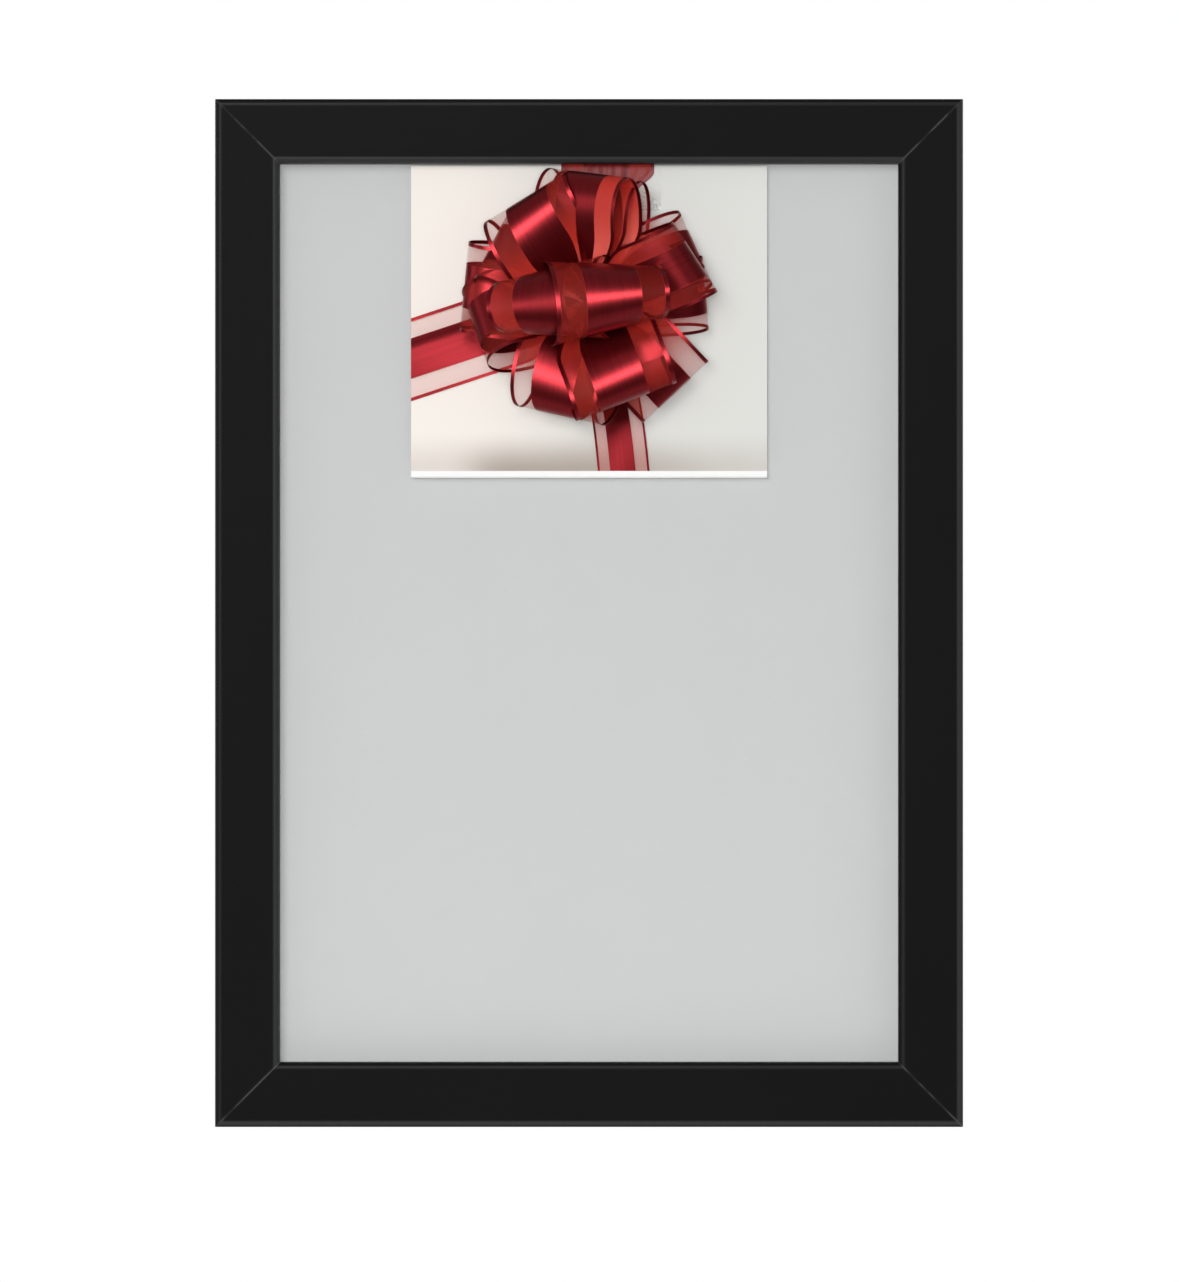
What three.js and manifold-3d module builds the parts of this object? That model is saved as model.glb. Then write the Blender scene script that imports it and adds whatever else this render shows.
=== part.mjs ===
// Hanging picture frame with a ribbon bow. Four mitred rails hold glazing, a grey mount board and a
// backing board. A card with a gathered ribbon bow hangs in the opening by a ribbon strap that is
// trapped behind the top rail. Turn buttons, hanging rings and bumpers sit on the back.
// Millimetres, +Z up, the front looks along -Y, origin on the wall between the two hanging rings.
import * as THREE from "three";
import { mergeVertices } from "three/addons/utils/BufferGeometryUtils.js";
import Module from "manifold-3d";

const wasm = await Module();
wasm.setup();

// Picture sheets
const SHEET_WIDTH = 210;
const SHEET_HEIGHT = 297;
const SHEET_CLEARANCE = 0.5;
const SHEET_LAP = 8.75;
const GLAZING_THICKNESS = 2;
const MOUNT_THICKNESS = 1.4;
const BACKING_THICKNESS = 3;
const SEAT_GAP = 0.3;

// Moulding
const RAIL_WIDTH = 20;
const LIP_THICKNESS = 7;
const OUTER_ROUND = 1.7;
const INNER_ROUND = 1.6;
const MITRE_GAP = 0.2;
const MITRE_EASE = 0.15;

// Pins across the mitres, pressed in from the back
const V_NAIL_LEG = 5;
const V_NAIL_THICKNESS = 0.6;
const V_NAIL_DEPTH = 8;

// Turn buttons
const BUTTON_EYE_RADIUS = 4.5;
const BUTTON_NOSE_RADIUS = 3;
const BUTTON_LENGTH = 12;
const BUTTON_THICKNESS = 0.8;
const BUTTON_OFF_CENTRE = 62;

// Screws of the turn buttons and the hangers
const SCREW_SHANK_RADIUS = 1.3;
const SCREW_LENGTH = 10;
const SCREW_HEAD_RADIUS = 2.7;
const SCREW_HEAD_HEIGHT = 1.4;
const SCREW_RIM_HEIGHT = 0.5;
const SCREW_CROWN_RADIUS = 2.2;

// Hanging rings
const HANGER_FROM_TOP = 60;
const HANGER_STRAP_WIDTH = 10;
const HANGER_STRAP_THICKNESS = 0.6;
const HANGER_EYE_TO_BAR = 8.5;
const RING_WIRE_RADIUS = 0.9;
const RING_HALF_BAR = 8;
const RING_CORNER = 2;
const RING_REACH = 13;

// Bumpers
const BUMPER_RADIUS = 4.2;
const BUMPER_HEIGHT = 4.8;
const BUMPER_SKIRT = 1.5;
const BUMPER_TIP_RADIUS = 2.5;
const BUMPER_FROM_SIDE = 18;

// Ribbon bow
const RIBBON_WIDTH = 28;
const RIBBON_THICKNESS = 0.4;
const RIBBON_PINCH = 5;
const LOOP_REACH = 39;
const LOOP_SEGMENTS = 12;
const LOOP_START = 0.7;
const LOOP_FLARE = 0.6;
const NECK_RADIUS = 3.5;
const CORE_RADIUS = 6.5;
const TIE_RADIUS = 0.7;
const LOOP_CLEARANCE = 1;
const BOW_TOP_CLEARANCE = 2.5;
const STRAP_THICKNESS = 0.3;
const STRAP_WIDTH = 29;
const STRAP_OFFSET = 5.8;
const STRAP_TUCK = 6;
const STRAP_STRAIGHT = 7;
const TAIL_THICKNESS = 0.3;
const TAIL_LEFT_WIDTH = 25;
const TAIL_LEFT_ANGLE = 198.3;
const TAIL_SPREAD = 24;
const TAIL_EASE = 7.2;
const TAIL_LOWER_WIDTH = 17;
const TAIL_LOWER_ANGLE = -78.6;

// Card behind the bow
const CARD_THICKNESS = 0.5;
const CARD_TOP_GAP = 0.5;
const CARD_SIDE_MARGIN = 15.3;
const CARD_BOTTOM_MARGIN = 14.9;
const CARD_HEM = 2.2;
const TAPE_THICKNESS = 0.2;
const TAPE_HEIGHT = 13.5;
const TAPE_LEFT = 4;
const TAPE_RIGHT = 1.8;
const TAPE_STEP = 0.6;

// Every loop of the bow: the way it points round the card and up from the card, its roll about that way
// and how far its two sides fan apart, in degrees; what its reach and its spread width differ from the
// usual ones, and how far its two sides stand apart.
const LOOPS = [
  { azimuth: 174, elevation: 6, roll: 4, fan: 14, trim: 0, spread: 0, opening: 12 },
  { azimuth: 150, elevation: 9, roll: -4, fan: 0, trim: -4, spread: -1, opening: 11 },
  { azimuth: 81, elevation: 7, roll: -4, fan: 18, trim: -1.5, spread: -1, opening: 12 },
  { azimuth: 27, elevation: 8, roll: 4, fan: -14, trim: -1, spread: 0, opening: 12 },
  { azimuth: 5, elevation: 5, roll: -4, fan: 8, trim: -1, spread: 0, opening: 11 },
  { azimuth: -47, elevation: 6, roll: 2, fan: 0, trim: 0.5, spread: 0, opening: 11 },
  { azimuth: -105, elevation: 8, roll: -3, fan: 20, trim: -1, spread: 0, opening: 13 },
  { azimuth: 119, elevation: 30, roll: 0, fan: -34, trim: 2, spread: 2, opening: 16 },
  { azimuth: 88, elevation: 18, roll: -6, fan: 18, trim: 2, spread: -2, opening: 15 },
  { azimuth: 17, elevation: 28, roll: 16, fan: 24, trim: 0, spread: 1, opening: 16 },
  { azimuth: 194, elevation: 24, roll: 4, fan: -22, trim: -0.5, spread: -3, opening: 14 },
  { azimuth: -70, elevation: 36, roll: -4, fan: 8, trim: 2, spread: 5, opening: 16 },
  { azimuth: 4, elevation: 72, roll: 92, fan: 0, trim: -5, spread: 6, opening: 23 },
  { azimuth: 180, elevation: 57, roll: 96, fan: 0, trim: -6, spread: 5, opening: 22 },
];

const X = new THREE.Vector3(1, 0, 0);
const Y = new THREE.Vector3(0, 1, 0);
const Z = new THREE.Vector3(0, 0, 1);
const radians = THREE.MathUtils.degToRad;

const paint = (color, roughness, metalness = 0) =>
  new THREE.MeshStandardMaterial({ color, roughness, metalness });
const BLACK_MOULDING = paint(0x1f1f1f, 0.45);
const CLEAR = new THREE.MeshStandardMaterial({
  color: 0xf4f7f7,
  roughness: 0.08,
  transparent: true,
  opacity: 0.18,
});
const GREY_BOARD = paint(0xcdcdcd, 0.9);
const HARDBOARD = paint(0x8a6a48, 0.85);
const STEEL = paint(0xb8babd, 0.35, 0.9);
const RUBBER = paint(0x2b2b2b, 0.8);
const WHITE_CARD = paint(0xf3efe8, 0.8);
const RED_RIBBON = paint(0xa51624, 0.4);
const RED_THREAD = paint(0x8c1420, 0.7);

// Depths from the wall forwards, each sheet a gap in front of the one behind it
const RAIL_BACK = -BUMPER_HEIGHT;
const BACKING_BACK = RAIL_BACK - SEAT_GAP;
const MOUNT_BACK = BACKING_BACK - BACKING_THICKNESS - SEAT_GAP;
const GLAZING_BACK = MOUNT_BACK - MOUNT_THICKNESS - SEAT_GAP;
const CARD_BACK = GLAZING_BACK - GLAZING_THICKNESS - SEAT_GAP;
const CARD_FRONT = CARD_BACK - CARD_THICKNESS;
const STRAP_BACK = CARD_FRONT - SEAT_GAP;
const SHOULDER = STRAP_BACK - STRAP_THICKNESS - SEAT_GAP;
const FRAME_FRONT = SHOULDER - LIP_THICKNESS;
const RAIL_DEPTH = RAIL_BACK - FRAME_FRONT;

// Outlines across the front
const REBATE_WIDTH = SHEET_LAP + SHEET_CLEARANCE;
const LAND_WIDTH = RAIL_WIDTH - REBATE_WIDTH;
const LAND_CENTRE = LAND_WIDTH / 2;
const FRAME_WIDTH = SHEET_WIDTH + 2 * SHEET_CLEARANCE + 2 * LAND_WIDTH;
const FRAME_HEIGHT = SHEET_HEIGHT + 2 * SHEET_CLEARANCE + 2 * LAND_WIDTH;
const SIGHT_TOP = FRAME_HEIGHT / 2 - RAIL_WIDTH;
const HANGER_HEIGHT = FRAME_HEIGHT / 2 - HANGER_FROM_TOP;

// Points of a shape's outline without the repeats where its curves meet.
function outline(shape, divisions) {
  const points = shape.getPoints(divisions);
  return points.filter((p, i) => p.distanceTo(points.at(i - 1)) > 1e-4);
}

// Triangles that close a flat outline, wound the same way as the outline.
function capFaces(points) {
  const way = Math.sign(THREE.ShapeUtils.area(points));
  return THREE.ShapeUtils.triangulateShape(points, []).map((face) => {
    const turned = Math.sign(THREE.ShapeUtils.area(face.map((i) => points[i]))) !== way;
    return turned ? face.toReversed() : face;
  });
}

// A geometry with its faces turned so that they look outwards.
function outward(positions, index) {
  const geometry = new THREE.BufferGeometry();
  geometry.setAttribute("position", new THREE.Float32BufferAttribute(positions, 3));
  const corner = (i) => new THREE.Vector3().fromArray(positions, 3 * i);
  let volume = 0;
  for (let i = 0; i < index.length; i += 3) {
    const [a, b, c] = index.slice(i, i + 3).map(corner);
    volume += a.dot(b.cross(c));
  }
  geometry.setIndex(volume < 0 ? index.toReversed() : index);
  geometry.computeVertexNormals();
  return geometry;
}

// A solid whose surface runs through rings of points, capped at both ends or run round into itself.
function skin(rings, caps) {
  const size = rings[0].length;
  const count = rings.length;
  const spans = caps ? count - 1 : count;
  const index = [];
  for (let r = 0; r < spans; r++) {
    for (let k = 0; k < size; k++) {
      const a = r * size + k;
      const b = r * size + ((k + 1) % size);
      const c = ((r + 1) % count) * size + k;
      const d = ((r + 1) % count) * size + ((k + 1) % size);
      index.push(a, b, d, a, d, c);
    }
  }
  const last = (count - 1) * size;
  for (const [a, b, c] of caps ?? []) index.push(c, b, a, last + a, last + b, last + c);
  return outward(rings.flat().flatMap((p) => p.toArray()), index);
}

function solid(geometry) {
  const bare = new THREE.BufferGeometry();
  bare.setAttribute("position", geometry.getAttribute("position"));
  bare.setIndex(geometry.index);
  const merged = mergeVertices(bare, 1e-4);
  return new wasm.Manifold(
    new wasm.Mesh({
      numProp: 3,
      vertProperties: merged.attributes.position.array,
      triVerts: new Uint32Array(merged.index.array),
    }),
  );
}

function geometryOf(manifold) {
  const made = manifold.getMesh();
  const geometry = new THREE.BufferGeometry();
  geometry.setAttribute("position", new THREE.Float32BufferAttribute(made.vertProperties, 3));
  geometry.setIndex([...made.triVerts]);
  geometry.computeVertexNormals();
  return geometry;
}

const cut = (geometry, tools) =>
  geometryOf(tools.reduce((left, tool) => left.subtract(solid(tool)), solid(geometry)));

// Pieces joined to one, with any small pocket that they close off between them filled.
function join(geometries) {
  const whole = geometries.map(solid).reduce((made, piece) => made.add(piece));
  const bodies = whole.decompose().filter((body) => body.volume() > 0);
  return geometryOf(bodies.reduce((made, body) => made.add(body)));
}

// A flat piece parallel to the front: its outline in X and Z, its back face at the given depth.
function plate(shape, thickness, back) {
  return new THREE.ExtrudeGeometry(shape, { depth: thickness, bevelEnabled: false, curveSegments: 10 })
    .applyMatrix4(new THREE.Matrix4().makeBasis(X, Z, Y.clone().negate()))
    .translate(0, back, 0);
}

// A length of one section, its outline in Y and Z, centred on X = 0.
function bar(shape, length) {
  return new THREE.ExtrudeGeometry(shape, { depth: length, bevelEnabled: false, curveSegments: 6 })
    .applyMatrix4(new THREE.Matrix4().makeBasis(Y, Z, X))
    .translate(-length / 2, 0, 0);
}

const polygon = (points) => new THREE.Shape(points.map(([x, y]) => new THREE.Vector2(x, y)));

const rectangle = (width, height) =>
  polygon([
    [-width / 2, -height / 2],
    [width / 2, -height / 2],
    [width / 2, height / 2],
    [-width / 2, height / 2],
  ]);

// Round wire along a closed path in the X and Z plane.
function closedWire(path, radius, sides) {
  const points = path.map((p) => new THREE.Vector3(p.x, 0, p.y));
  const rings = points.map((p, i) => {
    const along = points[(i + 1) % points.length].clone().sub(points.at(i - 1)).normalize();
    const out = along.cross(Y);
    return Array.from({ length: sides }, (_, k) => {
      const turn = (2 * Math.PI * k) / sides;
      return p
        .clone()
        .addScaledVector(out, radius * Math.cos(turn))
        .addScaledVector(Y, radius * Math.sin(turn));
    });
  });
  return skin(rings);
}

// Half section of the moulding: distance in from the outer edge, depth behind the front face.
function mouldingProfile() {
  const inner = RAIL_WIDTH - INNER_ROUND;
  const shape = new THREE.Shape();
  shape.moveTo(0, RAIL_DEPTH);
  shape.lineTo(0, OUTER_ROUND);
  shape.absarc(OUTER_ROUND, OUTER_ROUND, OUTER_ROUND, Math.PI, 1.5 * Math.PI);
  shape.lineTo(inner, 0);
  shape.absarc(inner, INNER_ROUND, INNER_ROUND, 1.5 * Math.PI, 2 * Math.PI);
  shape.lineTo(RAIL_WIDTH, LIP_THICKNESS);
  shape.lineTo(LAND_WIDTH, LIP_THICKNESS);
  shape.lineTo(LAND_WIDTH, RAIL_DEPTH);
  return outline(shape, 4);
}

// A rail along X with its outer edge at Z = 0 and both ends mitred, the mitre edges eased.
function railGeometry(length, tools) {
  const profile = mouldingProfile();
  const retract = MITRE_GAP / Math.SQRT2;
  const ring = (side, inset, ease) =>
    profile.map(
      (p) =>
        new THREE.Vector3(
          side * (length / 2 - p.x - retract - inset),
          FRAME_FRONT + Math.max(p.y, ease),
          -p.x,
        ),
    );
  const rings = [
    ring(-1, 0, MITRE_EASE),
    ring(-1, MITRE_EASE, 0),
    ring(1, MITRE_EASE, 0),
    ring(1, 0, MITRE_EASE),
  ];
  return cut(skin(rings, capFaces(profile)), tools);
}

// The chevron of a mitre pin from its point, its two legs parallel to the two rails.
function chevron(leg, thickness) {
  const half = thickness / 2;
  return polygon([
    [-half, -half],
    [leg, -half],
    [leg, half],
    [half, half],
    [half, leg],
    [-half, leg],
  ]);
}

// A mitre pin, or its pocket with a clearance, at the +X or -X end of a rail in the rail's own axes.
function mitrePin(length, end, clearance) {
  const shape = chevron(V_NAIL_LEG + clearance, V_NAIL_THICKNESS + 2 * clearance);
  const point = LAND_CENTRE + V_NAIL_LEG / 2;
  return plate(shape, V_NAIL_DEPTH + clearance, RAIL_BACK)
    .rotateY(end > 0 ? 0 : -Math.PI / 2)
    .translate(end * (length / 2 - point), 0, -point);
}

function pilotHole(x, z) {
  const radius = SCREW_SHANK_RADIUS + SEAT_GAP;
  const depth = SCREW_LENGTH + SEAT_GAP;
  return new THREE.CylinderGeometry(radius, radius, depth, 14).translate(
    x,
    RAIL_BACK + SEAT_GAP - depth / 2,
    z,
  );
}

// A round-headed wood screw on the Y axis, the underside of its head at Y = 0 and its tip towards -Y.
function screwGeometry() {
  const shape = new THREE.Shape();
  shape.moveTo(0, -SCREW_LENGTH);
  shape.lineTo(SCREW_SHANK_RADIUS, -SCREW_LENGTH + 2 * SCREW_SHANK_RADIUS);
  shape.lineTo(SCREW_SHANK_RADIUS, 0);
  shape.lineTo(SCREW_HEAD_RADIUS, 0);
  shape.lineTo(SCREW_HEAD_RADIUS, SCREW_RIM_HEIGHT);
  shape.quadraticCurveTo(SCREW_CROWN_RADIUS, SCREW_HEAD_HEIGHT, 0, SCREW_HEAD_HEIGHT);
  return turned(outline(shape, 4), 14);
}

// A turned piece on the Y axis from a profile that starts and ends on the axis.
function turned(profile, sides) {
  const lathe = new THREE.LatheGeometry(
    profile.map((p) => new THREE.Vector2(Math.max(p.x, 0), p.y)),
    sides,
  );
  const bare = new THREE.BufferGeometry();
  bare.setAttribute("position", lathe.getAttribute("position"));
  bare.setIndex(lathe.index);
  const merged = mergeVertices(bare, 1e-4);
  const index = [...merged.index.array];
  const whole = [];
  for (let i = 0; i < index.length; i += 3) {
    const face = index.slice(i, i + 3);
    if (new Set(face).size === 3) whole.push(...face);
  }
  return outward([...merged.attributes.position.array], whole);
}

// A turn button about its screw, its nose towards -Z over the backing board.
function turnButtonGeometry() {
  const lean = Math.asin((BUTTON_EYE_RADIUS - BUTTON_NOSE_RADIUS) / BUTTON_LENGTH);
  const shape = new THREE.Shape();
  shape.absarc(0, 0, BUTTON_EYE_RADIUS, -lean, Math.PI + lean);
  shape.absarc(0, -BUTTON_LENGTH, BUTTON_NOSE_RADIUS, Math.PI + lean, 2 * Math.PI - lean);
  const eye = new THREE.Path();
  eye.absarc(0, 0, SCREW_SHANK_RADIUS + SEAT_GAP, 0, 2 * Math.PI, true);
  shape.holes.push(eye);
  return plate(shape, BUTTON_THICKNESS, RAIL_BACK + SEAT_GAP + BUTTON_THICKNESS);
}

const SLEEVE_BORE = RING_WIRE_RADIUS + SEAT_GAP;
const SLEEVE_RADIUS = SLEEVE_BORE + HANGER_STRAP_THICKNESS;
const RING_AXIS = RAIL_BACK + SEAT_GAP + SLEEVE_RADIUS;

// A hanger strap with the ring's bar on the X axis through the origin: the plate runs out towards +Z and
// is curled round the bar at its inner end. The rail's back is one seat gap below the plate.
function hangerStrapGeometry() {
  const far = HANGER_EYE_TO_BAR + HANGER_STRAP_WIDTH / 2;
  const inside = Math.asin(SLEEVE_BORE / SLEEVE_RADIUS);
  const curl = new THREE.Shape();
  curl.moveTo(-SLEEVE_RADIUS, far);
  curl.lineTo(-SLEEVE_RADIUS, 0);
  curl.absarc(0, 0, SLEEVE_RADIUS, Math.PI, 2.5 * Math.PI + inside);
  curl.lineTo(-SLEEVE_BORE, far);
  const bore = new THREE.Path();
  bore.absarc(0, 0, SLEEVE_BORE, 0, 2 * Math.PI, true);
  curl.holes.push(bore);
  const plan = new THREE.Shape();
  const half = HANGER_STRAP_WIDTH / 2;
  plan.moveTo(-half, -2 * SLEEVE_RADIUS);
  plan.lineTo(half, -2 * SLEEVE_RADIUS);
  plan.lineTo(half, HANGER_EYE_TO_BAR);
  plan.absarc(0, HANGER_EYE_TO_BAR, half, 0, Math.PI);
  const eye = new THREE.Path();
  eye.absarc(0, HANGER_EYE_TO_BAR, SCREW_SHANK_RADIUS + SEAT_GAP, 0, 2 * Math.PI, true);
  plan.holes.push(eye);
  const blank = solid(bar(curl, HANGER_STRAP_WIDTH + 1));
  return geometryOf(blank.intersect(solid(plate(plan, 4 * SLEEVE_RADIUS, 2 * SLEEVE_RADIUS))));
}

// The ring: a straight bar on the X axis and an arch towards -Z.
function hangerRingGeometry() {
  const shape = new THREE.Shape();
  const side = RING_HALF_BAR - RING_CORNER;
  shape.moveTo(-side, 0);
  shape.absarc(side, -RING_CORNER, RING_CORNER, Math.PI / 2, 0, true);
  shape.absellipse(0, -RING_CORNER, RING_HALF_BAR, RING_REACH - RING_CORNER, 0, -Math.PI, true);
  shape.absarc(-side, -RING_CORNER, RING_CORNER, Math.PI, Math.PI / 2, true);
  return closedWire(outline(shape, 5), RING_WIRE_RADIUS, 8);
}

// A domed rubber foot with a flat tip on the wall.
function bumperGeometry() {
  const shape = new THREE.Shape();
  shape.moveTo(0, RAIL_BACK + SEAT_GAP);
  shape.lineTo(BUMPER_RADIUS, RAIL_BACK + SEAT_GAP);
  shape.lineTo(BUMPER_RADIUS, RAIL_BACK + BUMPER_SKIRT);
  shape.quadraticCurveTo(BUMPER_RADIUS, 0, BUMPER_TIP_RADIUS, 0);
  shape.lineTo(0, 0);
  return turned(outline(shape, 6), 24);
}

// The sides of a loop bulge by sin(t) sin(t / 2) on their way round, which is this at its most.
const FULL_BULGE = 4 / (3 * Math.sqrt(3));

// One ribbon loop that leaves the gather, turns at its tip and comes back to the gather.
function loopGeometry({ azimuth, elevation, roll, fan, trim, spread, opening }) {
  const reach = LOOP_REACH + trim;
  const width = RIBBON_WIDTH + spread;
  const rise = radians(elevation);
  const place = (turn) => [
    (reach * (1 - Math.cos(turn))) / 2,
    ((opening / 2) * Math.sin(turn) * Math.sin(turn / 2)) / FULL_BULGE,
  ];
  const rings = Array.from({ length: LOOP_SEGMENTS + 1 }, (_, i) => {
    const turn = LOOP_START + ((2 * Math.PI - 2 * LOOP_START) * i) / LOOP_SEGMENTS;
    const way = radians(azimuth - (fan / 2) * Math.cos(turn / 2));
    const out = new THREE.Vector3(
      Math.cos(rise) * Math.cos(way),
      -Math.sin(rise),
      Math.cos(rise) * Math.sin(way),
    );
    const across = new THREE.Vector3(-Math.sin(way), 0, Math.cos(way)).applyAxisAngle(out, radians(roll));
    const apart = across.clone().cross(out);
    const [r, n] = place(turn);
    const [r0, n0] = place(turn - 0.01);
    const [r1, n1] = place(turn + 0.01);
    const middle = out.clone().multiplyScalar(r).addScaledVector(apart, n);
    const normal = out.clone().multiplyScalar(n0 - n1).addScaledVector(apart, r1 - r0).normalize();
    const full = THREE.MathUtils.smoothstep(r, 0, LOOP_FLARE * reach);
    const half = THREE.MathUtils.lerp(RIBBON_PINCH, width, full) / 2;
    const corner = (w, h) =>
      middle
        .clone()
        .addScaledVector(across, w * half)
        .addScaledVector(normal, (h * RIBBON_THICKNESS) / 2);
    return [corner(-1, -1), corner(1, -1), corner(1, 1), corner(-1, 1)];
  });
  return skin(rings, [[0, 1, 2], [0, 2, 3]]);
}

const BOW_LOOPS = LOOPS.map(loopGeometry);
const BOW_BOX = BOW_LOOPS.reduce(
  (box, loop) => box.union(new THREE.Box3().setFromBufferAttribute(loop.getAttribute("position"))),
  new THREE.Box3(),
);

// The bow's middle hangs far enough down for its top loop to clear the rail, and stands far enough off
// the card for its lowest loop to clear the tails and for the tie to fit between its core and the tails.
const TAIL_BACK = CARD_FRONT - SEAT_GAP;
const TAIL_FRONT = TAIL_BACK - TAIL_THICKNESS;
const BOW_HEIGHT = SIGHT_TOP - BOW_TOP_CLEARANCE - BOW_BOX.max.z;
const TIE_ROOM = 2 * TIE_RADIUS + 2 * SEAT_GAP;
const BOW_DEPTH = TAIL_FRONT - Math.max(LOOP_CLEARANCE + BOW_BOX.max.y, CORE_RADIUS + TIE_ROOM);
const CARD_TOP = SIGHT_TOP - CARD_TOP_GAP;
const CARD_BOTTOM = BOW_HEIGHT + BOW_BOX.min.z - CARD_BOTTOM_MARGIN;
const CARD_WIDTH = 2 * (Math.max(BOW_BOX.max.x, -BOW_BOX.min.x) + CARD_SIDE_MARGIN);

// All loops are one ribbon, gathered at a core that stands on the card.
function bowGeometry() {
  const core = new THREE.SphereGeometry(CORE_RADIUS, 16, 10);
  const foot = TAIL_BACK - BOW_DEPTH;
  const neck = new THREE.CylinderGeometry(NECK_RADIUS, NECK_RADIUS, foot, 20).translate(0, foot / 2, 0);
  return join([core, neck, ...BOW_LOOPS]);
}

// The cord drawn round the neck of the bow, half way between the core and the card.
function tieGeometry() {
  const ring = new THREE.Path().absarc(0, 0, NECK_RADIUS + SEAT_GAP + TIE_RADIUS, 0, 2 * Math.PI);
  const middle = (BOW_DEPTH + CORE_RADIUS + TAIL_FRONT) / 2;
  return closedWire(outline(ring, 12), TIE_RADIUS, 8).translate(0, middle, 0);
}

// Outline of a ribbon that leaves the neck in a direction, spreads to its width and ends on a line.
function tailShape(angle, width, spread, onEdge) {
  const along = new THREE.Vector2(Math.cos(radians(angle)), Math.sin(radians(angle)));
  const side = new THREE.Vector2(-along.y, along.x);
  const start = NECK_RADIUS + SEAT_GAP;
  const at = (s, w) => along.clone().multiplyScalar(s).addScaledVector(side, w);
  const ends = [1, -1].map((w) => at(onEdge(along, side, (w * width) / 2), (w * width) / 2));
  const shape = new THREE.Shape();
  const edge = (w) => [start, start + TAIL_EASE, spread - TAIL_EASE, spread].map((s, i) =>
    at(s, (w * (i < 2 ? RIBBON_PINCH : width)) / 2));
  const [a0, a1, a2, a3] = edge(1);
  const [b0, b1, b2, b3] = edge(-1);
  shape.moveTo(a0.x, a0.y);
  shape.bezierCurveTo(a1.x, a1.y, a2.x, a2.y, a3.x, a3.y);
  shape.lineTo(ends[0].x, ends[0].y);
  shape.lineTo(ends[1].x, ends[1].y);
  shape.lineTo(b3.x, b3.y);
  shape.bezierCurveTo(b2.x, b2.y, b1.x, b1.y, b0.x, b0.y);
  return shape;
}

// The left tail is cut flush with the card's left edge.
const tailLeftShape = () =>
  tailShape(TAIL_LEFT_ANGLE, TAIL_LEFT_WIDTH, TAIL_SPREAD, (along, side, w) =>
    (-CARD_WIDTH / 2 - side.x * w) / along.x);

// The lower tail ends in the fold of the card's hem.
const tailLowerShape = () =>
  tailShape(TAIL_LOWER_ANGLE, TAIL_LOWER_WIDTH, TAIL_SPREAD, (along, side, w) =>
    (CARD_BOTTOM + CARD_HEM / 2 - BOW_HEIGHT - side.y * w) / along.y);

// The hanging part of the strap: straight under the rail, then narrowing to the neck of the bow.
function strapShape() {
  const half = STRAP_WIDTH / 2;
  const top = SIGHT_TOP - SEAT_GAP - BOW_HEIGHT;
  const straight = top - STRAP_STRAIGHT;
  const foot = NECK_RADIUS + SEAT_GAP;
  const pinch = RIBBON_PINCH / 2;
  const shape = new THREE.Shape();
  shape.moveTo(STRAP_OFFSET - half, top);
  shape.lineTo(STRAP_OFFSET - half, straight);
  shape.bezierCurveTo(STRAP_OFFSET - half, straight / 2, -pinch, straight / 2, -pinch, foot);
  shape.lineTo(pinch, foot);
  shape.bezierCurveTo(pinch, straight / 2, STRAP_OFFSET + half, straight / 2, STRAP_OFFSET + half, straight);
  shape.lineTo(STRAP_OFFSET + half, top);
  return shape;
}

// The card: one sheet with a hem turned up in front of its lower edge.
function cardGeometry() {
  const pocket = TAIL_THICKNESS + 2 * SEAT_GAP;
  const round = pocket / 2 + CARD_THICKNESS;
  const axis = CARD_FRONT - pocket / 2;
  const turn = CARD_BOTTOM + round;
  const shape = new THREE.Shape();
  shape.moveTo(CARD_BACK, CARD_TOP);
  shape.lineTo(CARD_FRONT, CARD_TOP);
  shape.lineTo(CARD_FRONT, turn);
  shape.absarc(axis, turn, pocket / 2, 0, -Math.PI, true);
  shape.lineTo(axis - pocket / 2, CARD_BOTTOM + CARD_HEM);
  shape.lineTo(axis - round, CARD_BOTTOM + CARD_HEM);
  shape.lineTo(axis - round, turn);
  shape.absarc(axis, turn, round, -Math.PI, 0);
  return bar(shape, CARD_WIDTH);
}

// Clear tape over the strap, stepped down to the card on both sides of it.
function tapeGeometry() {
  const low = CARD_FRONT - SEAT_GAP;
  const high = STRAP_BACK - STRAP_THICKNESS - SEAT_GAP;
  const left = STRAP_OFFSET - STRAP_WIDTH / 2 - SEAT_GAP;
  const right = STRAP_OFFSET + STRAP_WIDTH / 2 + SEAT_GAP;
  const back = [
    [left - TAPE_LEFT, low],
    [left - TAPE_STEP, low],
    [left, high],
    [right, high],
    [right + TAPE_STEP, low],
    [right + TAPE_RIGHT, low],
  ];
  const front = back.map(([x, y]) => [x, y - TAPE_THICKNESS]).reverse();
  const shape = polygon([...back, ...front]);
  return new THREE.ExtrudeGeometry(shape, { depth: TAPE_HEIGHT, bevelEnabled: false }).translate(
    0,
    0,
    CARD_TOP - SEAT_GAP - TAPE_HEIGHT,
  );
}

function mesh(name, geometry, material) {
  const made = new THREE.Mesh(geometry, material);
  made.name = name;
  return made;
}

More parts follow.
